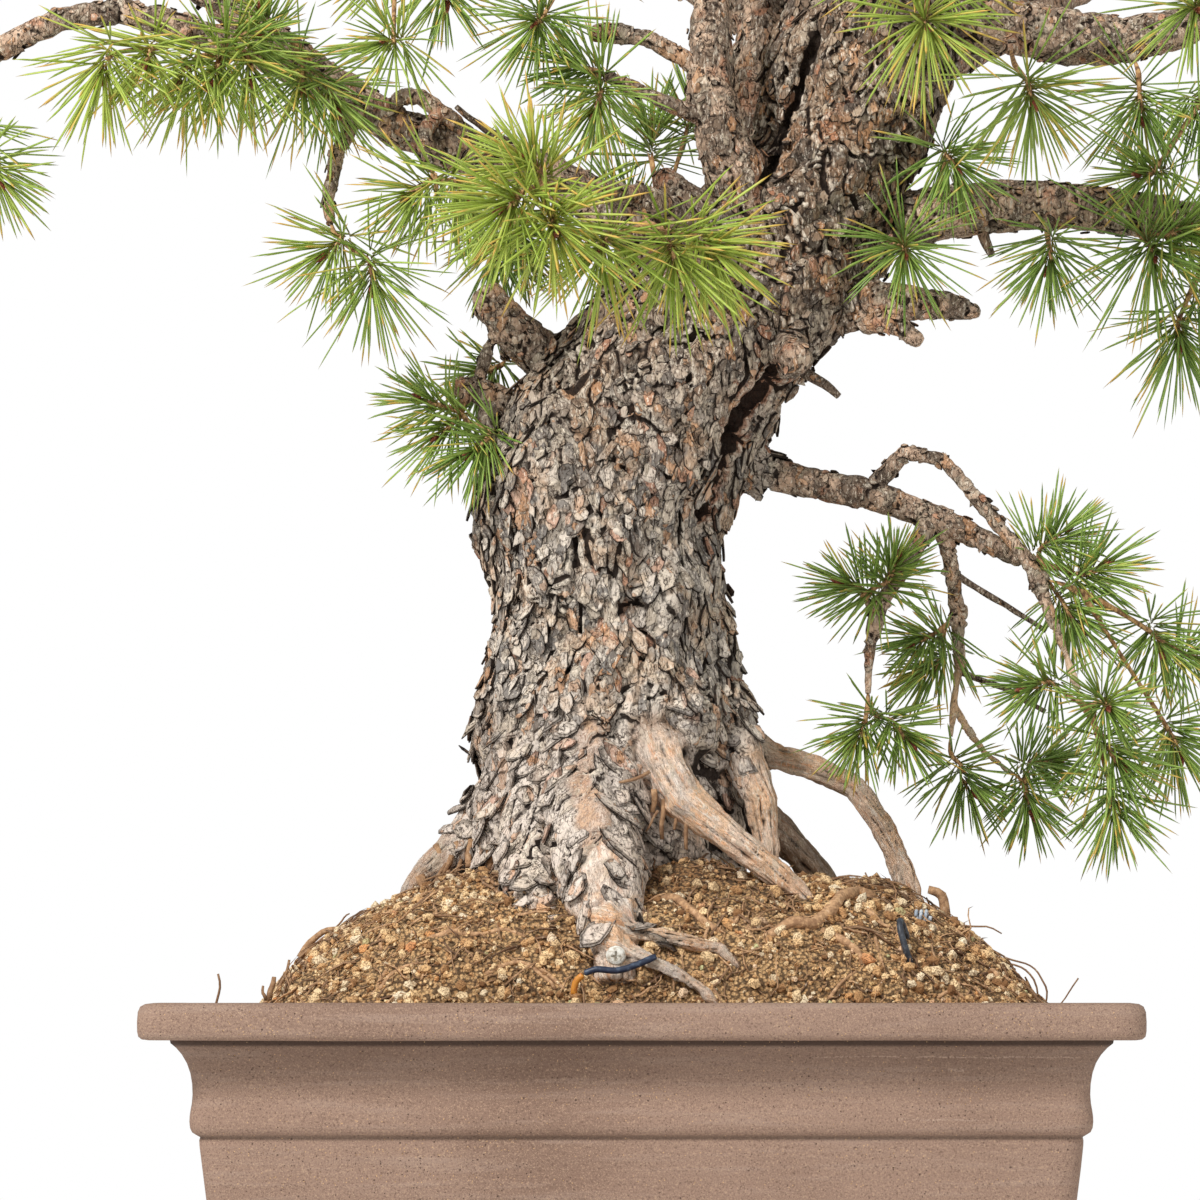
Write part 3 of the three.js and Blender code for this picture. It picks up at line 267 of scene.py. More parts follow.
def round_run(route, name, random, wander=0.5, step=5):
    """A crooked round root, twig or wire along a route of (x, y, z, radius) in millimetres."""
    route = np.array(route, float)
    gaps = np.linalg.norm(np.diff(route[:, :3], axis=0), axis=1)
    along = np.concatenate([[0], np.cumsum(gaps)])
    stops = np.linspace(0, along[-1], max(4, int(along[-1] / step)))
    points = np.stack([np.interp(stops, along, route[:, k]) for k in range(4)], 1)
    points[1:-1, :3] += random.normal(0, wander, (len(points) - 2, 3))
    points[:, 3] *= random.uniform(0.88, 1.12, len(points))
    curve = with_settings(bpy.data.curves.new(name, "CURVE"), dimensions="3D", bevel_depth=MM,
                          bevel_resolution=1, resolution_u=2, use_fill_caps=True)
    spline = curve.splines.new("NURBS")
    spline.points.add(len(points) - 1)
    with_settings(spline, order_u=3, use_endpoint_u=True)
    for knot, (x, y, z, radius) in zip(spline.points, points):
        knot.co = (x * MM, y * MM, z * MM, 1)
        knot.radius = radius
    shape = shape_of(baked(linked(name, curve)))
    bmesh.ops.remove_doubles(shape, verts=shape.verts, dist=1e-6)
    bmesh.ops.recalc_face_normals(shape, faces=shape.faces[:])
    return mesh_from(shape, name)


def seen_at(skin, across, down):
    """Place on a skin, in millimetres, behind a pixel of the photograph."""
    way = Vector(((across - PHOTO_SIDE / 2) / PHOTO_FOCAL, 1, (HORIZON_ROW - down) / PHOTO_FOCAL))
    spot = skin.ray_cast(Vector(CAMERA_PLACE), way.normalized())[0]
    return None if spot is None else np.array(spot) / MM


def at_depth(across, down, y):
    """Place in millimetres behind a pixel of the photograph, y inward from the middle of the pot."""
    per_pixel = (y - CAMERA_PLACE[1] / MM) / PHOTO_FOCAL
    return np.array([CAMERA_PLACE[0] / MM + (across - PHOTO_SIDE / 2) * per_pixel, y,
                     CAMERA_PLACE[2] / MM + (HORIZON_ROW - down) * per_pixel])


# Node trees

def srgb(*colour):
    """A colour given as read from the photograph, 0 to 255, as linear light."""
    parts = (value / 255 for value in colour)
    return tuple(part / 12.92 if part <= 0.04045 else ((part + 0.055) / 1.055) ** 2.4 for part in parts)


class Value:
    """An output in a node tree, on which arithmetic adds nodes."""

    def __init__(self, nodes, socket):
        self.nodes, self.socket = nodes, socket

    def __add__(self, other):
        return self.nodes.math("ADD", self, other)

    def __sub__(self, other):
        return self.nodes.math("SUBTRACT", self, other)

    def __rsub__(self, other):
        return self.nodes.math("SUBTRACT", other, self)

    def __mul__(self, other):
        return self.nodes.math("MULTIPLY", self, other)

    def __or__(self, other):
        return self.nodes.math("MAXIMUM", self, other)

    def __abs__(self):
        return self.nodes.math("ABSOLUTE", self)

    def ramp(self, low, high, to_low=0.0, to_high=1.0):
        """The value eased from one range to another, falling where low is above high."""
        return self.nodes.add("ShaderNodeMapRange", {"Value": self, "From Min": low, "From Max": high,
                                                     "To Min": to_low, "To Max": to_high},
                              "Result", interpolation_type="SMOOTHSTEP")

    def under(self, *coats):
        """This colour under coats, each with its mask and its colour, the last on top."""
        colour = self
        for mask, coat in coats:
            colour = self.nodes.blend(mask, colour, coat)
        return colour


class Nodes:
    """A short way to add and join nodes in a material or group."""

    def __init__(self, tree):
        self.tree = tree

    def put(self, socket, value):
        if isinstance(value, Value):
            self.tree.links.new(value.socket, socket)
        elif isinstance(value, tuple) and len(value) == 3 and len(socket.default_value) == 4:
            socket.default_value = (*value, 1)
        else:
            socket.default_value = value

    def node(self, kind, inputs=(), **settings):
        """A new node, its inputs filled by name or in their order."""
        node = with_settings(self.tree.nodes.new(kind), **settings)
        for key, value in inputs.items() if isinstance(inputs, dict) else enumerate(inputs):
            self.put(node.inputs[key], value)
        return node

    def add(self, kind, inputs=(), out=0, **settings):
        """One output of a new node."""
        return Value(self, self.node(kind, inputs, **settings).outputs[out])

    def outputs(self, kind, inputs=(), count=3, **settings):
        """The first outputs of a new node."""
        made = self.node(kind, inputs, **settings)
        return [Value(self, made.outputs[k]) for k in range(count)]

    def math(self, operation, *values, clamp=False):
        return self.add("ShaderNodeMath", values, operation=operation, use_clamp=clamp)

    def mix(self, mask, first, second, kind="MIX"):
        return self.add("ShaderNodeMix", {"Factor": mask, "A": first, "B": second}, "Result",
                        data_type="RGBA", blend_type=kind)

    def blend(self, mask, *colours):
        """Two colours by a mask; a tuple is a colour as read from the photograph."""
        return self.mix(mask, *(srgb(*c) if isinstance(c, tuple) else c for c in colours))

    def attribute(self, name, out="Fac"):
        return self.add("ShaderNodeAttribute", out=out, attribute_name=name)

    def stretched(self, place, stretch):
        return self.add("ShaderNodeMapping", {"Scale": stretch, "Vector": place}, "Vector")

    def object_place(self, stretch=(1, 1, 1)):
        return self.stretched(self.add("ShaderNodeTexCoord", out="Object"), stretch)

    def distance(self, place, spot):
        return self.add("ShaderNodeVectorMath", (place, spot), "Value", operation="DISTANCE")

    def noise(self, place, per_metre, detail=3.0, rough=0.55, distort=0.0, out="Fac"):
        return self.add("ShaderNodeTexNoise", {"Vector": place, "Scale": per_metre, "Detail": detail,
                                               "Roughness": rough, "Distortion": distort}, out)

    def cells(self, place, per_metre, feature="F1", out="Distance"):
        return self.add("ShaderNodeTexVoronoi", {"Vector": place, "Scale": per_metre}, out, feature=feature)

    def cell_numbers(self, place, per_metre):
        """Three random numbers for each cell."""
        return self.outputs("ShaderNodeSeparateColor", [self.cells(place, per_metre, out="Color")])

    def axes(self, place):
        return self.outputs("ShaderNodeSeparateXYZ", [place])

    def speckle(self, *given):
        return self.outputs("ShaderNodeGroup", given, node_tree=SPECKLE)

    def damp(self, place, colour, amount):
        """The colour, darker where the soil is moist and where painted shade lies under the left root and at the
        arched root.
        """
        mask = self.add("ShaderNodeGroup", [place], node_tree=DAMP_AND_SHADE) * amount
        return self.mix(mask, colour, DAMP_AND_SHADE_TINT, "MULTIPLY")

    def bumps(self, *layers):
        """A normal from layers of relief, each a height, a depth in millimetres and a strength."""
        under = {}
        for height, depth, strength in layers:
            under = {"Normal": self.add("ShaderNodeBump", {"Height": height, "Distance": depth * MM,
                                                           "Strength": strength, **under}, "Normal")}
        return under["Normal"]


def node_group(name, inputs, outputs, build):
    """A group from the names of its inputs and outputs and the function that fills it."""
    tree = bpy.data.node_groups.new(name, "ShaderNodeTree")
    for title in inputs:
        kind = "Vector" if title == "Place" else "Float"
        tree.interface.new_socket(title, in_out="INPUT", socket_type="NodeSocket" + kind)
    for title in outputs:
        tree.interface.new_socket(title, in_out="OUTPUT", socket_type="NodeSocketFloat")
    nodes = Nodes(tree)
    nodes.node("NodeGroupOutput", build(nodes, *nodes.outputs("NodeGroupInput", count=len(inputs))))
    return tree


def speckle_masks(nodes, place, per_metre, pale, dark):
    """Pale and dark specks over a surface: a mask of each, and the height of the grain that they follow."""
    grain = nodes.noise(place, per_metre, 4, 0.68)
    return grain.ramp(pale, pale + 0.12), grain.ramp(dark, dark - 0.12), grain


def damp_and_shade_mask(nodes, place):
    """Where the soil is dark: moist patches, and painted shade in the tangle under the left root and at the arched
    root.
    """
    patch = nodes.noise(place, 30, 4, 0.62)
    mask = patch.ramp(0.5, 0.66, 0.0, 0.8)
    for spot in ROOT_SHADE_SPOTS:
        mask = mask | nodes.distance(place, spot).ramp(0.05, 0.018) * patch.ramp(0.34, 0.5)
    return [mask]


# Spots of painted shade on the soil: under the left root, at the arched root and in front of the trunk
ROOT_SHADE_SPOTS = ((-0.072, -0.035, 0.228), (0.128, -0.04, 0.212), (0.025, -0.06, 0.235))
DAMP_AND_SHADE_TINT = (0.42, 0.34, 0.28)
SPECKLE = node_group("speckle", ("Place", "Per metre", "Pale from", "Dark from"), ("Pale", "Dark", "Height"),
                     speckle_masks)
DAMP_AND_SHADE = node_group("damp", ("Place",), ("Damp",), damp_and_shade_mask)


def material(name, look):
    """A material whose look gives what goes into the shader's sockets."""
    made = bpy.data.materials.new(name)
    made.use_nodes = True
    made.node_tree.nodes.clear()
    nodes = Nodes(made.node_tree)
    shader = nodes.add("ShaderNodeBsdfPrincipled", look(nodes), "BSDF")
    nodes.node("ShaderNodeOutputMaterial", {"Surface": shader})
    return made


def surface(colour, roughness, normal, shine=None):
    """What a look puts into the shader's sockets."""
    sockets = {"Base Color": colour, "Roughness": roughness, "Normal": normal}
    return sockets if shine is None else {**sockets, "Specular IOR Level": shine}


# Bark and wood; places in millimetres

# Trunk line from the soil up: height, centre across, half width
TRUNK_LINE = np.array([[196, -16, 66], [300, -15, 64], [400, -20, 58], [466, 0, 65], [530, 47, 61],
                       [580, 82, 49], [610, 105, 43], [692, 127, 38]], float)
WOOD_VOXEL = 0.00118
WOOD_FACES = 262000
# Lengths that the wood is cut into, from level to level in metres
WOOD_CUTS = [(None, 0.352, "wood_roots"), (0.352, 0.47, "wood_trunk"), (0.47, None, "wood_limbs")]
DEEP_CRACK = [[66, 486], [53, 470], [44, 450], [37, 435], [29, 416]]
SIDE_CRACK = [[-32, 402], [-30, 386], [-32, 374]]
FOLD = [[-34, 353], [-19, 351], [-4, 350], [6, 358]]
HIGH_CRACK = [[88, 655], [79, 628], [68, 596], [62, 580]]
PINK_STRIP = [[-9, 374], [-5, 366], [0, 357], [5, 349]]
SMOOTH_ROOT = [[2, 318], [10, 295], [21, 273], [40, 257], [59, 243], [76, 229]]
PALE_RIDGE = [[-25, 304], [-28, 282], [-22, 254], [-18, 228]]
HOLLOW = [[30, 292], [37, 272], [42, 250]]
RUST_PATCHES = [[[10, 448], [4, 428]], [[-62, 436], [-58, 424]], [[52, 470], [38, 446]], [[88, 536], [100, 546]],
                [[92, 604], [98, 618]], [[20, 330], [24, 318]], [[62, 596], [58, 570]]]
# Cracks: run, how far the bark's noise bends it, reach and depth
CRACKS = [(DEEP_CRACK, 1.2, 3.2, 1.7), (SIDE_CRACK, 1.2, 1.5, 0.7), (FOLD, 2, 1.5, 0.25),
          (HIGH_CRACK, 1.5, 3.2, 0.9)]
# Middle lines of the roots, which give the run of their fibres
ROOT_RUNS = [
    [(-27, -16, 322), (-23, -50, 278), (-20, -82, 243), (-16, -104, 216), (-12, -124, 182)],
    [(-14, -110, 211), (2, -118, 207), (20, -121, 204), (38, -122, 200), (47, -124, 190)],
    [(-13, -118, 201), (2, -128, 195), (18, -133, 187), (38, -138, 168)],
    [(0, -30, 324), (10, -50, 295), (21, -60, 273), (40, -66, 257), (59, -70, 243), (86, -76, 216)],
    [(41, -10, 325), (52, -24, 297), (61, -32, 274), (63, -38, 249), (60, -42, 226)],
    [(44, 12, 308), (66, 14, 298), (87, 16, 293), (107, 12, 283), (122, 6, 263), (132, 0, 240), (140, -6, 204)],
    [(31, 30, 297), (54, 36, 277), (78, 38, 254), (99, 36, 229), (108, 34, 212)],
    [(-62, 10, 280), (-81, 6, 260), (-95, 0, 247), (-107, -6, 237), (-118, -12, 206)],
    [(-42, -22, 300), (-52, -60, 242), (-49, -82, 219), (-40, -106, 190)],
    [(38, -78, 222), (52, -90, 217), (88, -98, 213), (102, -92, 219), (126, -96, 200)],
    [(-20, 40, 298), (-25, 78, 262), (-28, 104, 228), (-30, 112, 208)]]
# Fibres: how far one root's places lie from the next one's, how much they are squeezed along it, bar radius
FIBRE_START, FIBRE_SQUEEZE, FIBRE_BAR = 40.0, 0.13, 7
BURLS = [[-42, 381, 13, 5], [-17, 404, 14, 6], [26, 437, 15, 5], [6, 452, 12, 4], [-48, 440, 14, 5],
         [14, 372, 12, 4], [-30, 330, 16, 4], [20, 318, 14, 4], [96, 610, 12, 4], [70, 560, 14, 4]]
# Zones of the trunk: lowest and highest level, flake size, its height to width, how much it slants, thickness
BARK_ZONES = [(0, 318, 24.0, 0.7, 0.75, 3.2), (318, 452, 15.0, 1.9, 0.0, 3.4), (452, 900, 12.0, 1.2, 0.0, 2.8)]
FLAKE_VARIANTS = 10
# Loose flakes: name, lowest and highest level, number, half width, half height, thickness, layers, corners
FLAKE_ZONES = [("flare", 202, 322, 470, (3.4, 7), (6, 13), 1.7, 2, 9),
               ("middle", 318, 455, 1150, (1.8, 5), (3.5, 9.5), 1.5, 1, 9),
               ("upper", 450, 700, 1200, (1.8, 4.4), (2.6, 6.5), 1.4, 1, 9),
               ("limb", 360, 800, 1400, (1.2, 2.6), (1.6, 3.8), 0.9, 1, 7)]
# Bare twigs and dead stubs beside the sprays: places with a radius each
BARE_TWIGS = [[(159, -4, 388, 1.8), (173, -8, 378, 1.7), (188, -10, 370, 1.6), (203, -12, 359, 1.3)],
              [(163, 3, 339, 1.8), (180, -2, 333, 1.7), (203, -6, 319, 1.3)],
              [(-64, -34, 600, 2.4), (-76, -40, 607, 2.0), (-91, -44, 618, 1.2)],
              [(82, -28, 487, 3.4), (92, -34, 481, 2.6), (99, -36, 474, 1.6)],
              [(172, -14, 562, 3.6), (174, -15, 554, 2.8), (177, -16, 547, 1.6)],
              [(106, -4, 586, 2.6), (108, -6, 600, 2.0), (104, -10, 612, 1.2)]]


def trunk_share(points):
    """1 on the trunk, falling to 0 on limbs and free roots."""
    centre, half = (np.interp(points[:, 2], TRUNK_LINE[:, 0], TRUNK_LINE[:, k]) for k in (1, 2))
    off = np.hypot(points[:, 0] - centre, points[:, 1] * 1.12)
    share = 1 - smooth_step(half + 5, half + 24, off)
    return share * (1 - smooth_step(690, 720, points[:, 2]))


def flakes(points, size, tall, seed, rise, lean, cover=1.06):
    """Overlapping bark flakes: the topmost one's height and random number at each point.

    Each flake is ragged, domed and tilted its own way, and a point that none covers is a gap."""
    place = (points / size * np.array([1, 1, 1 / tall])).astype(np.float32)
    ragged = 1 + 0.26 * noise(points, size * 0.36, seed + 1) + 0.14 * noise(points, size * 0.15, seed + 2)
    base = np.floor(place)
    top = np.full(len(points), -0.5 * rise, np.float32)
    number = np.zeros(len(points), np.float32)
    for offset in itertools.product((-1, 0, 1), repeat=3):
        cell = base + np.array(offset, np.float32)
        chance = hashed(cell, seed + 90)
        way = place - (cell + 0.1 + 0.8 * hashed(cell, seed))
        far = np.sqrt((way ** 2).sum(1)) * ragged / (cover * (0.72 + 0.36 * chance[:, 0]))
        tilt = (chance[:, 2] - 0.5) * 2.4 * (way[:, 0] + 0.6 * way[:, 1]) - 0.35 * way[:, 2]
        height = rise * chance[:, 1] + lean * tilt - 0.35 * rise * far * far
        above = (far < 1) & (height > top)
        top[above] = height[above]
        number[above] = chance[above, 2]
    return top, number


def fibre_places(points):
    """Each point's place on its nearest root, rolled round a bar of one thickness and squeezed lengthwise."""
    best = np.full(len(points), 1e9, np.float32)
    found = np.zeros((len(points), 3), np.float32)
    for number, run in enumerate(ROOT_RUNS):
        start = FIBRE_START * number
        for first, second in zip(np.array(run[:-1], np.float32), np.array(run[1:], np.float32)):
            step = second - first
            length = np.linalg.norm(step)
            part = np.clip((points - first) @ step / length ** 2, 0, 1)
            away = points - first - part[:, None] * step
            far = np.linalg.norm(away, axis=1)
            side = np.cross(step, (0, -1, 0))
            side /= np.linalg.norm(side)
            turn = np.arctan2(away @ side, away @ np.cross(side, step) / length)
            nearer = far < best
            best[nearer] = far[nearer]
            place = np.stack([FIBRE_BAR * np.cos(turn), FIBRE_BAR * np.sin(turn),
                              start + FIBRE_SQUEEZE * part * length], 1)
            found[nearer] = place[nearer]
            start += FIBRE_SQUEEZE * length
    return found


def neighbour_mean(mesh, values, rounds):
    """Values averaged over neighbouring vertices, round after round."""
    first, second = rows_of(mesh.edges, "vertices", 2, np.int32).T
    count = len(values)
    near = np.bincount(first, minlength=count) + np.bincount(second, minlength=count) + 1.0
    for _ in range(rounds):
        total = np.bincount(first, values[second], count) + np.bincount(second, values[first], count)
        values = (total + values) / near
    return values


def trunk_bark(at, seed):
    """Relief and tones of the trunk's bark: broad plates on the flare, tall flakes above, small at the top."""
    relief, tone, small_tone = np.zeros((3, len(at)), np.float32)
    level = at[:, 2] + 14 * noise(at, 40, seed)
    for low, high, size, tall, slant, rise in BARK_ZONES:
        mine = (level >= low) & (level < high)
        here = at[mine]
        warp = np.stack([noise(here, 2.4 * size, seed + i) for i in (1, 2, 3)], 1) * size * 0.5
        here = here + warp
        here[:, 2] += slant * np.abs(here[:, 0] + 12)
        big, big_tone = flakes(here, size, tall, seed + 5, rise, rise * 0.6)
        mid, mid_tone = flakes(here + warp * 0.3, size * 0.42, tall ** 0.7, seed + 6, rise * 0.42, rise * 0.25)
        upright = np.array([1, 1, 0.3])
        crack = bump(noise(here * upright, size * 0.8, seed + 8), 0.07) * (noise(here, 30, seed + 9) > -0.1)
        relief[mine] = big + mid + 0.35 * noise(here, 3, seed + 7) - 1.8 * crack
        tone[mine] = 0.55 * big_tone + 0.45 * mid_tone
        small_tone[mine] = mid_tone
    return relief, tone, small_tone


def dress_wood():
    """The whole wood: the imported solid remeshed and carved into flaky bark."""
    mesh = mesh_from(merged_copy("wood"), "wood_plain")
    mesh = modified(mesh, "REMESH", mode="VOXEL", voxel_size=WOOD_VOXEL)
    mesh = modified(mesh, "SMOOTH", factor=0.5, iterations=4)
    points, normals = places(mesh), vertex_normals(mesh)
    count = len(points)
    share = trunk_share(points)
    front = smooth_step(0.35, -0.1, normals[:, 1])
    height, tone, small_tone, rust, strata, gape, bare = np.zeros((7, count), np.float32)
    x, y, z = points.T
    ragged = noise(points, 9, 8)
    flare = smooth_step(208, 236, z + 8 * noise(points, 14, 9)) * smooth_step(60, 44, np.abs(x + 18) + 5 * ragged)
    share = np.maximum(share, flare * smooth_step(-112, -100, y) * (z < 330))
    papery = smooth_step(15, 9, distance_to_run(x, z, SMOOTH_ROOT) + 3 * ragged) * smooth_step(-34, -48, y)
    papery *= smooth_step(326, 306, z + 4 * ragged)
    share = share * (1 - papery)
    root = (1 - share) * (1 - smooth_step(285, 330, z - 0.25 * x))
    ridge = smooth_step(8, 4, distance_to_run(x, z, PALE_RIDGE) + 4 * ragged) * smooth_step(-40, -55, y)
    root = np.maximum(root, 0.9 * ridge)
    hollow = bump(distance_to_run(x, z, HOLLOW) + 4 * ragged, 6.5) * smooth_step(-62, -52, y) * (y < 10)
    front_root = smooth_step(36, 30, np.abs(x + 18)) * smooth_step(-52, -62, y) * smooth_step(300, 290, z)

    body = share > 0.01
    at, seen = points[body], front[body]
    x, z = at[:, 0], at[:, 2]
    relief, tone[body], small_tone[body] = trunk_bark(at, 10)
    swell = 2.2 * noise(at, 34, 51) + 1.2 * noise(at, 17, 52)
    furrow = bump(noise(at * np.array([1, 1, 0.32]), 19, 57), 0.05) * smooth_step(-0.15, 0.15, noise(at, 42, 58))
    furrow *= smooth_step(300, 330, z)
    for bx, bz, reach, rise in BURLS:
        swell += seen * rise * 0.8 * bump(np.hypot(x - bx, z - bz), reach)
    wander = noise(at, 6, 53)
    split = seen * np.maximum.reduce([depth * bump(distance_to_run(x, z, run) + bend * wander, reach)
                                      for run, bend, reach, depth in CRACKS])
    deep = distance_to_run(x, z, DEEP_CRACK) + 1.2 * wander
    strip = seen * smooth_step(3.6, 2.6, distance_to_run(x, z, PINK_STRIP) + 2.2 * noise(at, 5, 31))
    stain = strip.copy()
    for run in RUST_PATCHES:
        stain = np.maximum(stain, seen * 0.8 * smooth_step(5, 2, distance_to_run(x, z, run) + 4 * noise(at, 7, 33)))
    stain = np.maximum(stain, smooth_step(0.62, 0.8, noise(at, 19, 41) + 0.5 * noise(at, 6, 42)))
    stain = np.maximum(stain, seen * smooth_step(6.5, 4, deep + 2 * wander))
    strata[body] = relief
    height[body] = (relief * (1 - 0.5 * strip) + swell - 7.5 * split - 2.6 * furrow) * share[body]
    rust[body] = stain * share[body]
    gape[body] = np.maximum(split, 0.62 * furrow)
    bare[body] = np.maximum.reduce([split, 0.6 * furrow, seen * smooth_step(7.5, 5.5, deep)])

    limb = share < 0.99
    at, clean, trunk, blend = points[limb], root[limb], share[limb], 1 - share[limb]
    big, big_tone = flakes(at, 8.5, 1.0, 60, 1.8, 0.9)
    fine, fine_tone = flakes(at, 4.0, 1.0, 61, 0.8, 0.4)
    strata[limb] = strata[limb] * trunk + (big + fine) * blend
    fibre_place = np.zeros((count, 3), np.float32)
    fibre_place[limb] = fibre_places(at)
    streak = noise(fibre_place[limb], 2.6, 75) + 0.5 * noise(fibre_place[limb], 1.5, 76)
    groove = bump(noise(fibre_place[limb], 4.5, 77), 0.22)
    fine_relief = (big + fine) * (1.05 - 0.9 * clean)
    fine_relief += (1.2 * noise(at, 12, 71) + 0.5 * noise(at, 5, 72) + 0.8 * streak - 1.0 * groove) * clean
    height[limb] += fine_relief * blend
    tone[limb] = tone[limb] * trunk + (0.6 * big_tone + 0.4 * fine_tone) * blend
    small_tone[limb] = small_tone[limb] * trunk + fine_tone * blend
    rust[limb] += blend * smooth_step(0.3, 0.6, noise(at, 16, 73) + 0.5 * noise(at, 6, 74)) * (1 - 0.6 * clean)

    height -= 6 * hollow
    # Painted light: how far each vertex lies below its neighbours, with the cracks, furrows and the hollow added;
    # bark_look paints this as shade in hollows and as a highlight on raised ridges
    cavity = neighbour_mean(mesh, height, 3) - height + 0.5 * (neighbour_mean(mesh, height, 10) - height)
    cavity += 4.5 * np.clip(gape - 0.25, 0, 1) + hollow * (1.2 + 0.9 * ragged)
    cavity *= 1 - 0.35 * root * (1 - hollow)
    bare = np.maximum.reduce([bare, papery, hollow, smooth_step(0.3, 0.6, root) * (1 - front_root), ridge])
    carved = points + normals * height[:, None]
    set_places(mesh, carved)
    for name, values in (("cavity", cavity), ("tone", tone), ("small_tone", small_tone), ("rust", rust),
                         ("root", root), ("share", share), ("strata", strata), ("fibre_place", fibre_place)):
        store(mesh, name, values)
    return mesh, (carved, normals, np.maximum(share, front_root), bare)


def keep_weight(points, normals):
    """How much detail each part keeps: most on the viewer's side within the picture."""
    facing = smooth_step(0.35, -0.2, normals[:, 1])
    inside = smooth_step(700, 670, points[:, 2]) * smooth_step(310, 290, np.abs(points[:, 0] + 20))
    above = smooth_step(170, 190, points[:, 2])
    return facing * inside * above


def bark_look(nodes):
    """Grey weathered flakes over orange inner bark, with painted shade under their edges and in hollows and a
    painted highlight on ridges, and pale pinkish roots.
    """
    place, grain = nodes.object_place(), nodes.object_place((1, 1, 0.3))
    cavity, tone, small_tone, root, share, rust, strata = (
        nodes.attribute(name) for name in ("cavity", "tone", "small_tone", "root", "share", "rust", "strata"))
    swirl = nodes.noise(place, 110, 3, 0.5, out="Color")
    bent = nodes.add("ShaderNodeVectorMath", (swirl, (0.014, 0.014, 0.016), place), operation="MULTIPLY_ADD")
    chip_place = nodes.stretched(bent, (1, 1, 0.5))
    chip, orange, chip_rise = nodes.cell_numbers(chip_place, 210)
    chip_edge = nodes.cells(chip_place, 210, "DISTANCE_TO_EDGE")
    chip_tone = chip * 0.4 + small_tone * 0.6
    patch = nodes.noise(place, 45, 4, 0.6)
    pale_fleck, dark_fleck, fleck = nodes.speckle(grain, 800, 0.55, 0.46)
    fine = nodes.noise(grain, 2300, 3, 0.6)
    across, inward, level = nodes.axes(place)
    low = level.ramp(0.335, 0.27)
    fibre_place = nodes.attribute("fibre_place", "Vector")
    fibre, thread = nodes.noise(fibre_place, 0.5, 5, 0.62, 0.3), nodes.noise(fibre_place, 1.5, 4, 0.6)
    rooted, rough = root.ramp(0.2, 0.9, 0.9, 0.0), root.ramp(0.1, 0.9, 1.0, 0.45)

    pale = nodes.blend(tone.ramp(0.25, 0.75), (216, 203, 188), (126, 120, 114))
    pale = pale.under((patch.ramp(0.5, 0.64), (204, 176, 150)), (low * 0.75, (232, 216, 202)))
    brown = nodes.blend(tone.ramp(0.25, 0.75), (158, 132, 108), (98, 86, 76))
    brown = brown.under((patch.ramp(0.52, 0.66), (160, 122, 92)))
    dull = nodes.math("SUBTRACT", nodes.noise(place, 20, 3, 0.6).ramp(0.5, 0.64, 0, 0.4), low * 0.3, clamp=True)
    plate = nodes.blend(level.ramp(0.38, 0.56), pale, brown).under((dull, (96, 82, 70)))
    limb = nodes.blend(tone.ramp(0.2, 0.8), (206, 174, 148), (116, 100, 86))
    parting = abs(thread - 0.5).ramp(0.05, 0.0) * fleck.ramp(0.42, 0.6, 0.25, 0.95)
    roots = nodes.blend(patch.ramp(0.42, 0.6), (244, 224, 206), (240, 198, 160)).under(
        (tone.ramp(0.6, 0.9, 0, 0.7), (206, 194, 184)),
        (across.ramp(0.02, 0.06) * 0.45, (246, 202, 162)),
        (fibre.ramp(0.52, 0.66, 0, 0.7), (228, 162, 114)),
        (fibre.ramp(0.45, 0.32, 0, 0.8), (250, 238, 224)),
        (across.ramp(-0.055, -0.085, 0, 0.5), (166, 150, 136)),
        # Painted shade: roots darker toward the back, behind the trunk
        (inward.ramp(0.022, 0.034, 0, 0.7), (128, 112, 98)),
        (parting, (112, 70, 46)))
    wavy = strata * 1.45 + nodes.noise(place, 260, 3) * 1.6
    step = nodes.math("FRACT", wavy)
    # Dark line at the foot of each lamina step: partly the seam between layers, partly painted shade under the
    # step's edge
    line = step.ramp(0.0, 0.05) * step.ramp(0.26, 0.1) * nodes.noise(place, 95, 3).ramp(0.42, 0.56, 0.05, 0.9)
    # Dark seams along the chips' edges: partly their own colour, partly painted shade in the crevice between them
    slot = chip_edge.ramp(0.06, 0.0) * fleck.ramp(0.6, 0.42, 0.0, 0.8)
    plate = nodes.blend(share.ramp(0.1, 0.7), limb, plate).under(
        (root, roots),
        (rust * root.ramp(0.2, 0.9, 0.62, 0.3), nodes.blend(chip_tone, (214, 152, 116), (176, 108, 72))),
        (chip_tone.ramp(0.6, 0.8, 0, 0.5), (206, 188, 164)),
        (chip_tone.ramp(0.36, 0.18, 0, 0.5) * rough, (98, 80, 64)),
        (orange.ramp(0.88, 0.94) * root.ramp(0.8, 0.2) * 0.55, (204, 148, 102)),
        (pale_fleck * 0.8, (244, 230, 210)),
        (dark_fleck * 0.85 * rough, (66, 49, 36)),
        # Painted highlight on raised ridges and flake rims
        (cavity.ramp(-0.3, -1.1, 0, 0.7), (234, 220, 200)),
        (line * root.ramp(0.2, 0.9, 0.95, 0.0), (52, 37, 27)),
        (slot * rooted, (52, 36, 26)),
        # Painted shade in hollows, cracks and under flake edges
        ((cavity + fleck * 0.6).ramp(0.38, 1.0, 0, 0.96), (32, 20, 13)))
    chips = (chip_rise + chip_edge.ramp(0.0, 0.1)) * root.ramp(0.2, 0.9, 1, 0.1)
    return surface(plate, 0.92, nodes.bumps(
        (chips, 0.8, 0.75), ((fibre + thread * 0.8) * root, 2.6, 0.8), (step.ramp(0.0, 0.2), 0.5, 0.7),
        (fleck, 0.8, 0.8), (fine, 0.28, 0.8)), 0.25)


def cut_lengths(mesh, bark):
    """Cuts the wood level into closed pieces, so that no piece is too heavy."""
    for low, high, name in WOOD_CUTS:
        shape = shape_of(mesh)
        for level, side in ((low, -1), (high, 1)):
            if level is not None:
                cut_level(shape, level, side)
        piece_of(mesh_from(shape, name), name, bark, ["wood"])


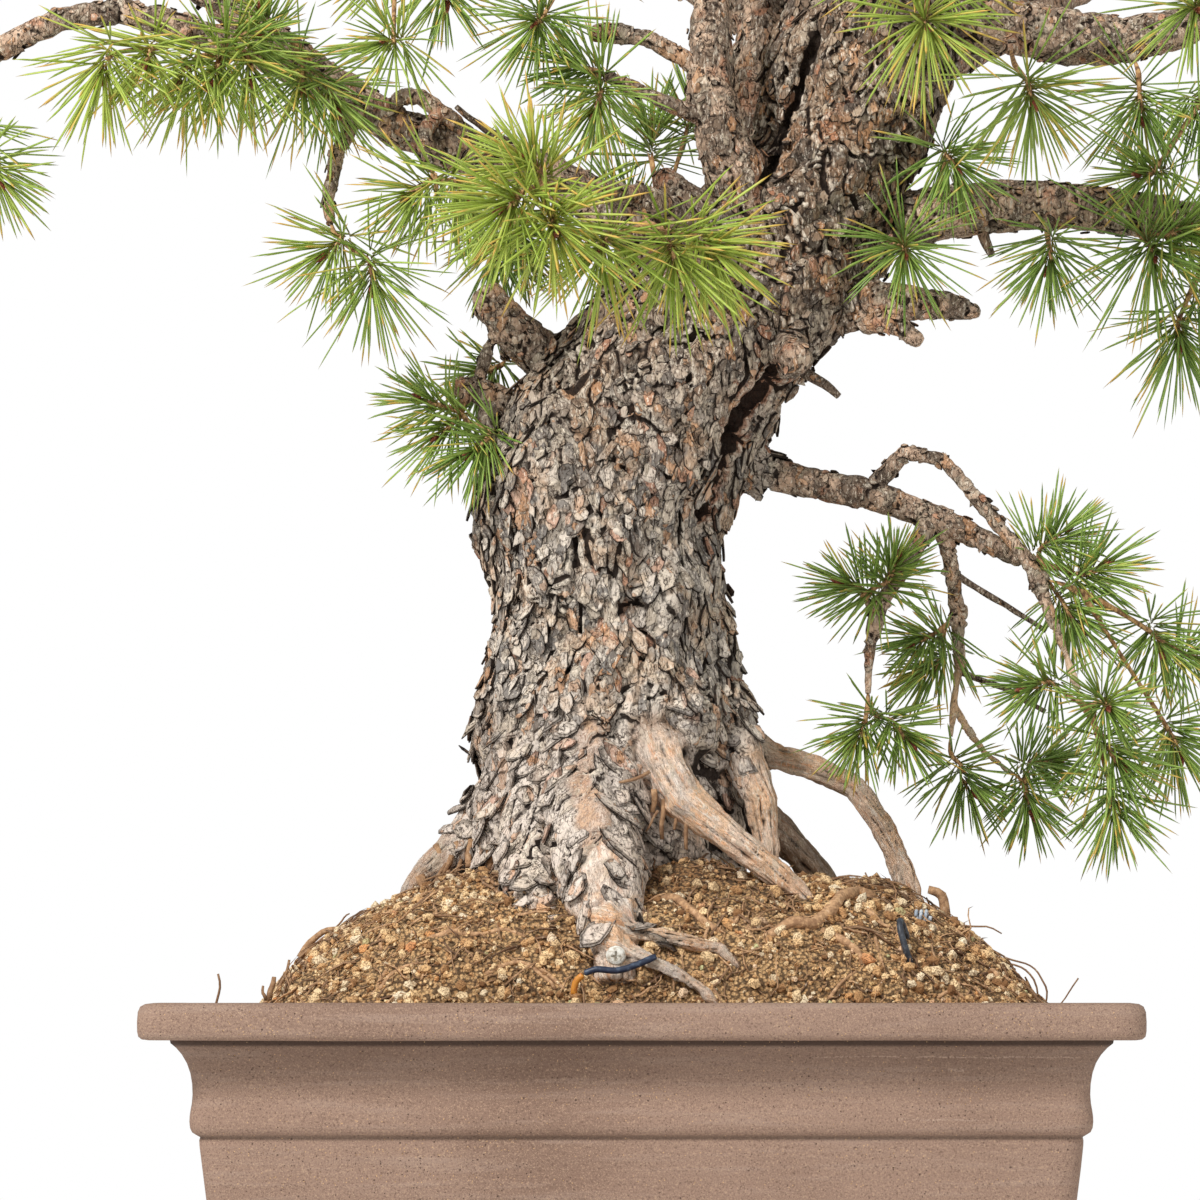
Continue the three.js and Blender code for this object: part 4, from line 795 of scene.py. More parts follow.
def flake_unit(random, layers, sides):
    """A thin ragged flake about 2 across and 1 thick, lying level, its rim painted pale as a highlight and its
    underside in painted shade.
    """
    shape = bmesh.new()
    rim = bmesh.ops.create_circle(shape, cap_ends=True, segments=sides, radius=1)["verts"]
    roughened(rim, 0.6, 1.12, random)
    top = shape.faces[:]
    for layer in range(layers):
        top = only(BMFace, bmesh.ops.extrude_face_region(shape, geom=top)["geom"])
        bmesh.ops.translate(shape, verts=top[0].verts[:], vec=(0, 0, 0.8 / layers))
        if layer < layers - 1:
            bmesh.ops.inset_region(shape, faces=top, thickness=random.uniform(0.1, 0.22), depth=0)
            bmesh.ops.translate(shape, verts=top[0].verts[:], vec=(*random.normal(0, 0.06, 2), 0))
    rim_verts = set(top[0].verts)
    bmesh.ops.inset_region(shape, faces=top, thickness=0.3, depth=0.2)
    inner = set(top[0].verts)
    bmesh.ops.recalc_face_normals(shape, faces=shape.faces[:])
    # Painted light: a pale highlight on the top rim, painted shade on the underside and a little on the sides
    rim_highlight_and_shade = [-0.2 if v in inner else -0.9 if v in rim_verts else 1.5 if v.co.z < 0.1 else 0.4 for v in shape.verts]
    curl = random.uniform(-0.5, 0.9)
    for vert in shape.verts:
        vert.co.z += curl * (vert.co.x ** 2 + 0.4 * vert.co.y ** 2)
    reach = [0.9 * v.co.xy.length for v in shape.verts]
    unit = mesh_from(shape, "flake")
    store(unit, "cavity", rim_highlight_and_shade)
    store(unit, "strata", reach)
    return unit


def make_flakes(seats, bark):
    """Loose flakes that overlap on the trunk and the limbs and stand out from their outline."""
    random = np.random.default_rng(19)
    place, normal, share, bare = seats
    seen = 0.35 + 0.65 * keep_weight(place, normal)
    level = place[:, 2] + 10 * noise(place, 40, 10)
    for name, low, high, count, wide, tall, thick, layers, sides in FLAKE_ZONES:
        on_trunk = name != "limb"
        where = smooth_step(0.5, 0.8, share) if on_trunk else smooth_step(0.35, 0.1, share)
        chance = where * seen * np.clip(1 - bare, 0, 1) * (level > low) * (level < high)
        many = count // FLAKE_VARIANTS
        meshes = []
        for variant in range(FLAKE_VARIANTS):
            chosen = random.choice(len(place), many, p=chance / chance.sum())
            at = place[chosen]
            away = random.uniform(0, 1, many) ** 2
            way = normal[chosen] + np.array([0, 0, 1.0]) * (0.04 + 0.26 * away)[:, None]
            way = way + random.normal(0, 0.16, (many, 3))
            slant = np.clip((at[:, 0] + 22) / 22, -1, 1) * 0.85 if name == "flare" else 0
            turn = slant + random.normal(0, 0.3 if on_trunk else 1.2, many)
            size = np.stack([random.uniform(*wide, many), random.uniform(*tall, many),
                             thick * random.uniform(0.7, 1.2, many)], 1)
            frames = aim(way, size, at + normal[chosen] * (thick * (away - 0.45))[:, None], turn)
            tone, small = random.uniform(0, 1, (2, many))
            rust = np.where(random.uniform(0, 1, many) < 0.08, 0.9, 0)
            zeros = np.zeros(many)
            meshes.append(copies(flake_unit(random, layers, sides), frames, {
                "tone": tone, "small_tone": small, "rust": rust, "root": zeros, "share": zeros + on_trunk}))
        piece_of(joined(meshes, name), "bark_flakes_" + name, bark, ["wood"], smooth=False)


def make_wood():
    """The wood with its flakes."""
    mesh, seats = dress_wood()
    weight = 1 - 0.94 * keep_weight(places(mesh), vertex_normals(mesh))
    holder = linked("wood_holder", mesh)
    group = holder.vertex_groups.new(name="plain")
    for level in range(1, 11):
        group.add(np.nonzero(np.round(weight * 10) == level)[0].tolist(), level / 10, "REPLACE")
    thin = modified(holder, "DECIMATE", ratio=min(1, WOOD_FACES / (2 * len(mesh.polygons))),
                    vertex_group="plain", vertex_group_factor=1.0, use_collapse_triangulate=True)
    bark = material("bark", bark_look)
    cut_lengths(thin, bark)
    make_flakes(seats, bark)
    return bark


def make_bare_twigs(bark):
    random = np.random.default_rng(5)
    twigs = joined([round_run(route, "twig", random) for route in BARE_TWIGS], "twigs")
    for name, value in (("tone", 0.7), ("small_tone", 0.3), ("cavity", 0.1)):
        store(twigs, name, np.full(len(twigs.vertices), value))
    piece_of(twigs, "bare_twigs", bark, ["wood"])


# Needles, twigs and buds

# Needles in each tuft: in view, at the picture's left, and out of view
VISIBLE_NEEDLES, LEFT_NEEDLES, CROWN_NEEDLES = 82, 60, 60
LEFT_FROM = -90
OUT_OF_VIEW = ("crown", "back", "right_far", "left_upper")
PAIR_TURN = math.pi * (3 - math.sqrt(5))
LONG_NEEDLE = 0.012
TUFT_REACH = 7.0
SEAT_REACH = 0.0012
SEAT_DEPTH = 0.0022
NO_SPRAYS = {"pot", "soil", "wood", "drain_screen_left", "drain_screen_right", "anchor_screw",
             "anchor_wire_left", "anchor_wire_right", "wire_sleeve"}


def tapered_unit(rings, name, sides=3):
    """A slim closed spike 1 high: rings are (height, radius), and the tip is at height 1."""
    shape = bmesh.new()
    bmesh.ops.create_circle(shape, cap_ends=True, segments=sides, radius=rings[0][1])
    rim = shape.edges[:]
    for (low, before), (high, after) in zip(rings, rings[1:] + [(1, 0)]):
        rim, verts = grown_rim(shape, rim)
        bmesh.ops.translate(shape, verts=verts, vec=(0, 0, high - low))
        if after:
            bmesh.ops.scale(shape, verts=verts, vec=(after / before, after / before, 1))
    bmesh.ops.pointmerge(shape, verts=verts, merge_co=(0, 0, 1))
    bmesh.ops.recalc_face_normals(shape, faces=shape.faces[:])
    unit = mesh_from(shape, name)
    store(unit, "along", places(unit)[:, 2] * MM)
    return unit


def needles_of(shape):
    """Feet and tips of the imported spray's needles, in millimetres, and the tip vertices themselves."""
    tips = [v for v in shape.verts
            if len(v.link_edges) == 3 and min(e.calc_length() for e in v.link_edges) > LONG_NEEDLE]
    feet = [sum((e.other_vert(v).co for e in v.link_edges), Vector()) / 3 for v in tips]
    return np.array([tuple(f) for f in feet]) / MM, np.array([tuple(v.co) for v in tips]) / MM, tips


def tufts_of(feet, ends):
    """Groups of needles that grow from one twig's end: centre, axis, mean length and the members."""
    free = np.ones(len(feet), bool)
    tufts = []
    while free.any():
        group = [int(np.argmax(free))]
        free[group[0]] = False
        for member in group:
            near = np.nonzero(free & (np.linalg.norm(feet - feet[member], axis=1) < TUFT_REACH))[0]
            free[near] = False
            group += near.tolist()
        ways = ends[group] - feet[group]
        lengths = np.linalg.norm(ways, axis=1)
        axis = (ways / lengths[:, None]).mean(0)
        tufts.append((feet[group].mean(0), axis / np.linalg.norm(axis), lengths.mean(), group))
    return tufts


def tuft_frames(tuft, feet, ends, count, random):
    """Foot, direction and length of every fine needle of one tuft, in pairs round its twig."""
    centre, axis, length, group = tuft
    helper = np.array([1.0, 0, 0]) if abs(axis[2]) > 0.8 else np.array([0, 0, 1.0])
    side = np.cross(axis, helper)
    side /= np.linalg.norm(side)
    other = np.cross(axis, side)
    pairs = count // 2
    place = (np.arange(pairs) + random.uniform(0, 1, pairs)) / pairs
    spread = np.radians(98 - 80 * place ** 0.85 + random.normal(0, 9, pairs))
    turn = np.arange(pairs) * PAIR_TURN + random.normal(0, 0.25, pairs)
    starts, ways, sizes = [], [], []
    for wide in (-1, 1):
        lean = spread + wide * random.uniform(0.02, 0.1, pairs)
        twist = turn + wide * random.uniform(0.04, 0.13, pairs)
        out = side * np.cos(twist)[:, None] + other * np.sin(twist)[:, None]
        starts.append(centre + axis * (-12 + 20 * place)[:, None] + out * 1.1)
        ways.append(axis * np.cos(lean)[:, None] + out * np.sin(lean)[:, None])
        sizes.append(length * random.uniform(0.72, 1.04, pairs) * (1.03 - 0.18 * place))
    starts.append(feet[group])
    ways.append(ends[group] - feet[group])
    sizes.append(np.linalg.norm(ends[group] - feet[group], axis=1))
    return np.concatenate(starts), np.concatenate(ways), np.concatenate(sizes)


def needle_look(nodes):
    """Green needles with a pale line and ochre tips, yellower where they are in full light."""
    along, tone, warm = (nodes.attribute(name) for name in ("along", "tone", "warm"))
    grain = nodes.noise(nodes.object_place(), 900, 2)
    ochre = tone + warm * 0.12
    late = along + ochre.ramp(0.4, 1.0) * 0.22
    colour = nodes.blend(tone, (98, 132, 48), (164, 190, 90)).under(
        (warm.ramp(0.3, 0.95), nodes.blend(tone, (144, 168, 54), (200, 210, 98))),
        (ochre.ramp(0.93, 1.0, 0, 0.8), (208, 186, 84)),
        (grain.ramp(0.4, 0.7, 0, 0.35), (186, 204, 126)),
        (late.ramp(0.88, 1.08, 0, 0.9), (212, 168, 82)),
        (along.ramp(0.1, 0.0, 0, 0.7), (150, 120, 76)))
    return surface(colour, 0.45, nodes.bumps((grain, 0.1, 0.5)), 0.4)


def twig_look(nodes):
    """Young orange-brown bark with scars of fallen needles."""
    patch = nodes.noise(nodes.object_place(), 160, 3)
    scar = nodes.cells(nodes.object_place((1, 1, 0.6)), 620)
    colour = nodes.blend(patch.ramp(0.35, 0.65), (168, 122, 78), (122, 88, 62))
    return surface(nodes.blend(scar.ramp(0.35, 0.7), (206, 164, 112), colour), 0.85, nodes.bumps((scar, 0.6, 0.8)))


def bud_look(nodes):
    """Red-brown scales with pale resin between them."""
    scale = nodes.cells(nodes.object_place(), 1100)
    colour = nodes.blend(scale.ramp(0.2, 0.75), (156, 74, 44), (104, 46, 30)).under(
        (nodes.attribute("along").ramp(0.75, 1.0, 0, 0.6), (206, 160, 122)))
    return surface(colour, 0.6, nodes.bumps((scale, 0.5, 0.8)))


def make_sprays():
    needle = tapered_unit([(0, 0.30), (0.4, 0.58), (0.86, 0.46)], "needle")
    bud = tapered_unit([(0, 0.16), (0.2, 0.24), (0.5, 0.22), (0.8, 0.12)], "bud", sides=6)
    needle_green, young_bark = material("needle", needle_look), material("young_bark", twig_look)
    bud_brown = material("bud", bud_look)
    random = np.random.default_rng(41)
    wood_skin = skin_of(merged_copy("wood"))
    for name in sorted(set(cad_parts) - NO_SPRAYS):
        shape = merged_copy(name)
        feet, ends, tips = needles_of(shape)
        rows, bud_frames = [], []
        for tuft in tufts_of(feet, ends):
            centre, axis = tuft[:2]
            here = (CROWN_NEEDLES if name.startswith(OUT_OF_VIEW) else
                    LEFT_NEEDLES if centre[0] < LEFT_FROM else VISIBLE_NEEDLES)
            found = tuft_frames(tuft, feet, ends, here, random)
            # Painted light: needles toward the front and toward the lit left side get a warmer, yellower tone
            nearer = np.clip((-centre[1] - 40) / 130, 0, 1)
            lit = np.clip((60 - centre[0]) / 500, 0, 1) * 0.35
            warm = np.clip(0.25 + 0.6 * nearer + lit + random.normal(0, 0.08), 0, 1)
            rows.append((*found, np.full(len(found[2]), warm)))
            for k in range(4):
                way = axis + random.normal(0, 0.35 if k else 0.06, 3)
                size = random.uniform(3, 5) if k else random.uniform(5.5, 8)
                bud_frames.append(aim(way[None], np.full((1, 3), size), (centre + axis * 8.5)[None], np.zeros(1)))
        starts, ways, sizes, warm = (np.concatenate(column) for column in zip(*rows))
        count = len(sizes)
        width = random.uniform(1.05, 1.4, count) * (1 + 0.35 * np.clip(warm - 0.5, 0, 1))
        frames = aim(ways, np.stack([width, width * 0.72, sizes], 1), starts, random.uniform(0, ROUND, count))
        droop = random.normal(0, 1.4, (count, 3)) + np.array([0, 0, -1.6])
        green = copies(needle.copy(), frames, {"tone": random.uniform(0, 1, count), "warm": warm}, droop)
        brown = copies(bud.copy(), np.concatenate(bud_frames), {})

        bmesh.ops.delete(shape, geom=tips, context="VERTS")
        bmesh.ops.holes_fill(shape, edges=shape.edges[:], sides=3)
        for vert in shape.verts:
            near, _, _, far = wood_skin.find_nearest(vert.co)
            if far < SEAT_REACH:
                vert.co = near + (near - vert.co).normalized() * SEAT_DEPTH
        twig = modified(mesh_from(shape, name), "SUBSURF", levels=1, render_levels=1)
        set_places(twig, places(twig) + vertex_normals(twig) * 0.35)
        for mesh, kind, finish in ((green, "_needles", needle_green), (brown, "_buds", bud_brown),
                                   (twig, "_twig", young_bark)):
            piece_of(mesh, name + kind, finish, [name])


# Soil; places in millimetres

SOIL_VOXEL = 0.0039
SOIL_CUT = 0.15
OPEN_LEVEL = 158
GRAINS, GRAIN_VARIANTS = 3250, 10
CRUMBS, CRUMB_VARIANTS = 6000, 4
HAIRS = 2600
# Heaps of soil between the roots: centre across and inward, reach, rise
SOIL_HEAPS = [[27, -52, 22, 9], [120, -20, 20, 5], [-90, -40, 26, 3], [-30, 118, 24, 16]]
# Roots that lie on the soil: the radius at each end, and the pixels that they cross in the photograph
SOIL_ROOTS = [
    (1.7, 1.0, 430, 936, 452, 932, 486, 936, 506, 928, 526, 936), (1.3, 1.0, 305, 962, 318, 948, 336, 938, 352, 930),
    (1.1, 0.8, 306, 968, 322, 956, 330, 942), (1.3, 0.7, 380, 988, 392, 972, 412, 966, 424, 962),
    (1.2, 0.8, 372, 994, 380, 980, 388, 968), (1.5, 1.0, 486, 972, 508, 966, 528, 964, 542, 978, 556, 988),
    (1.2, 0.9, 528, 962, 542, 970, 558, 980, 566, 990), (1.1, 0.7, 300, 992, 318, 984, 336, 988, 352, 978),
    (1.5, 1.0, 384, 928, 380, 938, 382, 950), (2.6, 1.6, 662, 896, 676, 898, 692, 912, 708, 926, 722, 930),
    (3.0, 3.4, 765, 934, 790, 926, 812, 928, 826, 918, 838, 904, 856, 894, 874, 896),
    (2.6, 1.8, 822, 928, 838, 940, 856, 948, 862, 962), (1.8, 1.2, 856, 896, 868, 914, 884, 928, 898, 934),
    (1.0, 0.6, 870, 922, 878, 948, 884, 972), (1.2, 0.8, 730, 918, 736, 928, 735, 926, 745, 904),
    (1.0, 0.7, 742, 936, 756, 920, 764, 912), (1.0, 0.7, 828, 998, 840, 982, 856, 970),
    (1.2, 0.8, 936, 996, 952, 990, 966, 1000), (1.6, 1.2, 984, 984, 992, 970, 1000, 984, 1006, 998),
    (1.3, 1.0, 1004, 972, 1012, 984, 1016, 996), (1.0, 0.8, 720, 862, 736, 876, 742, 868),
    (1.5, 1.2, 944, 920, 962, 930, 980, 944, 994, 962), (1.4, 0.9, 420, 880, 440, 872, 462, 878, 488, 880, 504, 890),
    (1.9, 1.5, 414, 892, 420, 876, 432, 866, 444, 852), (1.0, 0.7, 460, 866, 474, 876, 480, 898),
    (1.3, 1.0, 424, 898, 436, 882, 452, 874)]
# Roots and twigs before the hollow, the left root and the soil's outline: depth, or None where they lie on the
# wood or the soil, the radius at each end, and their pixels
NEAR_ROOTS = [
    (-62, 1.8, 1.3, 654, 790, 653, 801, 652, 813), (-62, 1.5, 1.1, 664, 800, 662, 818, 662, 840),
    (-63, 1.2, 0.8, 675, 803, 677, 818, 674, 830), (-64, 1.2, 1.0, 686, 818, 687, 834, 686, 850),
    (-60, 0.8, 0.6, 640, 806, 642, 826, 637, 846), (-74, 0.6, 1.1, 615, 784, 630, 780, 650, 772),
    (-70, 0.5, 0.8, 646, 832, 652, 821, 658, 811), (-18, 2.0, 1.3, 301, 958, 311, 941, 330, 929, 352, 931),
    (-16, 0.4, 0.5, 350, 914, 342, 920, 336, 928), (-60, 0.6, 1.1, 290, 960, 291, 969, 283, 981, 276, 997),
    (-84, 1.1, 1.5, 275, 977, 273, 988, 270, 1000), (-84, 0.7, 1.1, 264, 986, 267, 1000),
    (-66, 1.2, 0.8, 317, 968, 302, 971, 290, 979, 284, 994), (-40, 1.3, 0.9, 328, 943, 324, 955, 321, 966),
    (-30, 0.8, 0.7, 338, 932, 322, 938, 309, 950, 296, 962),
    (None, 1.0, 0.6, 462, 880, 476, 874, 489, 872, 503, 882, 510, 892, 511, 906),
    (None, 2.3, 1.7, 472, 836, 470, 850, 469, 868), (None, 2.6, 2.0, 489, 836, 491, 852, 491, 872),
    (None, 1.1, 0.9, 447, 864, 437, 878, 430, 892), (None, 2.6, 1.6, 420, 876, 426, 890, 422, 904),
    (-14, 0.5, 0.4, 414, 885, 407, 899, 405, 909), (None, 1.7, 1.0, 452, 856, 444, 870, 438, 880, 440, 890),
    (None, 0.9, 0.7, 418, 884, 430, 888, 444, 884, 462, 888),
    (None, 1.6, 1.0, 436, 846, 446, 858, 450, 872, 446, 886),
    (None, 1.3, 0.9, 456, 842, 462, 856, 458, 872, 462, 884),
    (None, 0.8, 0.6, 480, 880, 500, 894, 524, 892, 540, 906),
    (-14, 2.4, 2.8, 928, 890, 938, 890, 944, 900, 945, 918),
    (-40, 0.6, 0.4, 944, 918, 960, 926, 975, 925, 992, 927, 1001, 934),
    (-40, 1.4, 0.9, 962, 932, 981, 948, 996, 965, 1007, 982, 1016, 994),
    (-38, 1.0, 0.7, 981, 941, 994, 953, 1005, 972), (-30, 0.8, 0.9, 842, 878, 840, 888, 847, 893),
    (-46, 0.5, 0.5, 1004, 963, 1024, 966, 1035, 980, 1037, 998)]
# Hair roots that stand free of the soil's outline: places and one radius
FREE_HAIRS = [([(120, -30, 206), (118, -36, 222), (111, -38, 238)], 0.45),
              ([(196, -60, 168), (198, -62, 182), (192, -60, 192), (178, -58, 196)], 0.45),
              ([(196, -62, 168), (206, -64, 176), (213, -66, 186)], 0.4),
              ([(-206, -80, 170), (-202, -82, 180), (-204, -82, 188)], 0.6)]
# Where the hair roots are densest: place, reach, how many times more
TANGLES = [((132, -36, 208), 26, 5), ((-76, -34, 226), 26, 2), ((-150, -40, 195), 30, 2), ((180, -60, 185), 26, 2)]
# Coil of thin wire at the foot of the arched root: pixel, turns, radius of the turns and of the wire, rise a turn
COIL_PIXEL = (922, 919)
COIL_TURNS, COIL_RADIUS, COIL_WIRE, COIL_PITCH = 3, 3.0, 0.9, 2.4


def humus_look(nodes):
    """Golden-brown crumbs and dust over dark gaps, painted shade between the crumbs, darker where moist and in
    painted shade by the roots.
    """
    place = nodes.object_place()
    crumb = nodes.cells(place, 520)
    pale, dark, dust = nodes.speckle(place, 900, 0.52, 0.46)
    colour = nodes.blend(nodes.noise(place, 70, 4, 0.6).ramp(0.35, 0.65), (192, 148, 100), (226, 182, 128)).under(
        # Dark gaps between the crumbs: painted shade
        (pale * 0.85, (236, 200, 148)), (dark * 0.9, (58, 38, 22)), (crumb.ramp(0.35, 0.7, 0, 0.8), (52, 33, 19)))
    return surface(nodes.damp(place, colour, 0.75), 0.95, nodes.bumps((crumb, 2.0, 1.0), (dust, 1.2, 0.9)))


# Colours of the granules, from cream to ochre and brown, with a few pale and orange stones
GRAIN_COLOURS = ((0.0, (132, 92, 56)), (0.25, (208, 160, 108)), (0.5, (236, 196, 142)), (0.75, (248, 216, 166)),
                 (0.92, (246, 230, 198)), (0.965, (226, 150, 88)), (1.0, (198, 198, 146)))


def grain_look(nodes):
    """Porous baked-clay granules, each of its own colour."""
    place = nodes.object_place()
    pores = nodes.noise(place, 1300, 3, 0.6)
    ramp = nodes.add("ShaderNodeValToRGB", {"Fac": nodes.attribute("tone")}, "Color")
    elements = ramp.socket.node.color_ramp.elements
    while len(elements) < len(GRAIN_COLOURS):
        elements.new(0.5)
    for element, (where, colour) in zip(elements, GRAIN_COLOURS):
        with_settings(element, position=where, color=(*srgb(*colour), 1))
    colour = nodes.blend(pores.ramp(0.38, 0.56, 0.8, 0), ramp, (104, 70, 42))
    return surface(nodes.damp(place, colour, 0.6), 0.95, nodes.bumps((pores, 0.5, 0.8)))


def root_look(nodes):
    """Thin tan roots, darker where they are damp and in painted shade under the left root and at the arched root."""
    place = nodes.object_place()
    patch = nodes.noise(place, 420, 4, 0.65)
    colour = nodes.blend(nodes.attribute("tone"), (96, 72, 54), (216, 172, 128)).under(
        (patch.ramp(0.4, 0.6, 0, 0.6), (124, 88, 62)), (patch.ramp(0.4, 0.3, 0, 0.5), (226, 204, 178)))
    return surface(nodes.damp(place, colour, 0.5), 0.9, nodes.bumps((patch, 0.9, 0.9)))


def soil_surface():
    """The mound above the pot's rim as one finely lumped skin, and the fill below it."""
    shape = merged_copy("soil")
    lower = shape.copy()
    cut_level(shape, SOIL_CUT, -1)
    cut_level(lower, SOIL_CUT, 1)
    top = modified(mesh_from(shape, "soil_top"), "REMESH", mode="VOXEL", voxel_size=SOIL_VOXEL)
    points, normals = places(top), vertex_normals(top)
    lumps = 1.1 * noise(points, 11, 5) + 0.8 * noise(points, 5, 6)
    upward = smooth_step(0.1, 0.5, normals[:, 2]) * smooth_step(OPEN_LEVEL, OPEN_LEVEL + 6, points[:, 2])
    points = points + normals * (lumps * upward)[:, None]
    for x, y, reach, rise in SOIL_HEAPS:
        points[:, 2] += upward * rise * bump(np.hypot(points[:, 0] - x, points[:, 1] - y), reach)
    set_places(top, points)
    return top, mesh_from(lower, "soil_fill")


def surface_samples(mesh, count, weight, random):
    """Random points and normals on a mesh, face by face, by area and weight."""
    area, = rows_of(mesh.polygons, "area", 1, float).T
    centre = rows_of(mesh.polygons, "center", 3, float) / MM
    normal = rows_of(mesh.polygons, "normal", 3, float)
    chance = area * weight(centre, normal)
    chosen = random.choice(len(area), count, p=chance / chance.sum())
    shift = random.uniform(-1, 1, (count, 3)) * np.sqrt(area[chosen])[:, None] / MM * 0.5
    shift -= normal[chosen] * (shift * normal[chosen]).sum(1)[:, None]
    return centre[chosen] + shift, normal[chosen]


def open_ground(centre, normal):
    """Chance of a grain: on the mound's open top, and less at the back."""
    near = np.where(centre[:, 1] < 20, 1.0, 0.42)
    return near * smooth_step(0.15, 0.4, normal[:, 2]) * (centre[:, 2] > OPEN_LEVEL)


def tangled_ground(centre, normal):
    """Chance of a hair root: more in the tangles."""
    tangle = np.zeros(len(centre))
    for spot, reach, more in TANGLES:
        tangle += more * bump(np.linalg.norm(centre - np.array(spot), axis=1), reach)
    return open_ground(centre, normal) * (1 + tangle)


def make_grains(top, random):
    """Granules sunk into the soil's skin, and crumbs on it."""
    meshes = []
    spots, normals = surface_samples(top, GRAINS, open_ground, random)
    radius = 1.1 + 2.2 * random.uniform(0, 1, len(spots)) ** 2
    big = random.uniform(0, 1, len(spots)) < 0.06
    radius[big] = random.uniform(2.5, 3.9, big.sum())
    tone = random.uniform(0, 1, len(spots))
    tone[big] = random.uniform(0.5, 0.98, big.sum())
    for variant in range(GRAIN_VARIANTS):
        shape = bmesh.new()
        bmesh.ops.create_icosphere(shape, subdivisions=1, radius=1)
        roughened(shape.verts, 0.66, 1.18, random)
        bmesh.ops.scale(shape, verts=shape.verts[:], vec=(1.2, 0.92, random.uniform(0.6, 0.95)))
        mine = slice(variant, None, GRAIN_VARIANTS)
        sizes = np.repeat(radius[mine][:, None], 3, 1)
        count = len(sizes)
        sunk = spots[mine] + normals[mine] * (radius[mine] * random.uniform(0.1, 0.6, count))[:, None]
        frames = aim(normals[mine] + random.normal(0, 0.5, (count, 3)), sizes, sunk, random.uniform(0, ROUND, count))
        meshes.append(copies(mesh_from(shape, "grain"), frames, {"tone": tone[mine]}))
    spots, normals = surface_samples(top, CRUMBS, open_ground, random)
    for variant in range(CRUMB_VARIANTS):
        shape = bmesh.new()
        bmesh.ops.create_cube(shape, size=1.5)
        roughened(shape.verts, 0.6, 1.2, random)
        mine = slice(variant, None, CRUMB_VARIANTS)
        count = len(spots[mine])
        sizes = random.uniform(0.45, 1.25, (count, 1)) * random.uniform(0.7, 1.25, (count, 3))
        raised = spots[mine] + normals[mine] * random.uniform(0, 1.6, (count, 1))
        frames = aim(random.normal(0, 1, (count, 3)), sizes, raised, random.uniform(0, ROUND, count))
        meshes.append(copies(mesh_from(shape, "crumb"), frames, {"tone": random.uniform(0, 0.9, count)}))
    return joined(meshes, "grains")


def make_hairs(top, random):
    """Hair roots that curl over the soil."""
    hair = tapered_unit([(0, 0.5), (0.25, 0.5), (0.5, 0.42), (0.75, 0.3)], "hair")
    spots, normals = surface_samples(top, HAIRS, tangled_ground, random)
    level = random.normal(0, 1, (HAIRS, 3))
    level -= normals * (level * normals).sum(1)[:, None]
    ways = level / np.linalg.norm(level, axis=1, keepdims=True) + normals * random.uniform(0.1, 0.5, (HAIRS, 1))
    long = 5 + 22 * random.uniform(0, 1, HAIRS) ** 2
    thick = random.uniform(0.6, 1.2, HAIRS) * (0.7 + long / 30)
    frames = aim(ways, np.stack([thick, thick, long], 1), spots + normals * 0.6, random.uniform(0, ROUND, HAIRS))
    side = np.cross(level, normals)
    bend = side * 0.35 * long[:, None] * random.uniform(-1, 1, (HAIRS, 1)) - normals * long[:, None] * 0.35
    wave = side * 0.07 * long[:, None] * random.uniform(-1, 1, (HAIRS, 1))
    return copies(hair, frames, {"tone": random.uniform(0, 1, HAIRS) ** 0.8}, bend, wave)


def make_roots(ground, random):
    """Thin roots on the soil, before the wood and free in the air, each with its tone."""
    wood_skin = skin_of(merged_copy("wood"))
    runs = []

    def add_run(spots, radii, name, wander, tone):
        run = round_run([(*spot, radius) for spot, radius in zip(spots, radii)], name, random, wander)
        store(run, "tone", np.full(len(run.vertices), tone))
        runs.append(run)

    def pixels_of(row):
        return list(zip(row[::2], row[1::2]))

    def nearest_seen(pixel):
        found = [spot for spot in (seen_at(ground, *pixel), seen_at(wood_skin, *pixel)) if spot is not None]
        return min(found, key=lambda spot: spot[1]) if found else at_depth(*pixel, -12)

    for first, last, *row in SOIL_ROOTS:
        found = [seen_at(ground, *pixel) for pixel in pixels_of(row)]
        found = [spot for spot in found if spot is not None]
        if len(found) > 1:
            radii = np.linspace(first, last, len(found))
            lift = [-0.8] + [0.45] * (len(found) - 2) + [-0.8]
            spots = [spot + np.array([0, 0, rise * radius]) for spot, radius, rise in zip(found, radii, lift)]
            add_run(spots, radii, "root", 0.6, 0.85)
    for depth, first, last, *row in NEAR_ROOTS:
        pixels = pixels_of(row)
        spots = [nearest_seen(pixel) - (0, 2.0, 0) if depth is None else at_depth(*pixel, depth)
                 for pixel in pixels]
        add_run(spots, np.linspace(first, last, len(pixels)), "near root", 0.6, min(0.25 + 0.22 * first, 0.75))
    for spots, radius in FREE_HAIRS:
        add_run(spots, [radius] * len(spots), "hair", 0.5, 0.3)
    return joined(runs, "roots")


def make_coil(ground, random):
    middle = seen_at(ground, *COIL_PIXEL) + (0, -1.5, 1.0)
    turns = np.linspace(0, COIL_TURNS * 2 * math.pi, COIL_TURNS * 9)
    route = [(middle[0] + COIL_PITCH * (turn / ROUND - COIL_TURNS / 2), middle[1] - COIL_RADIUS * math.cos(turn),
              middle[2] + COIL_RADIUS * math.sin(turn), COIL_WIRE) for turn in turns]
    return round_run(route, "coil", random, 0.0, 1.8)


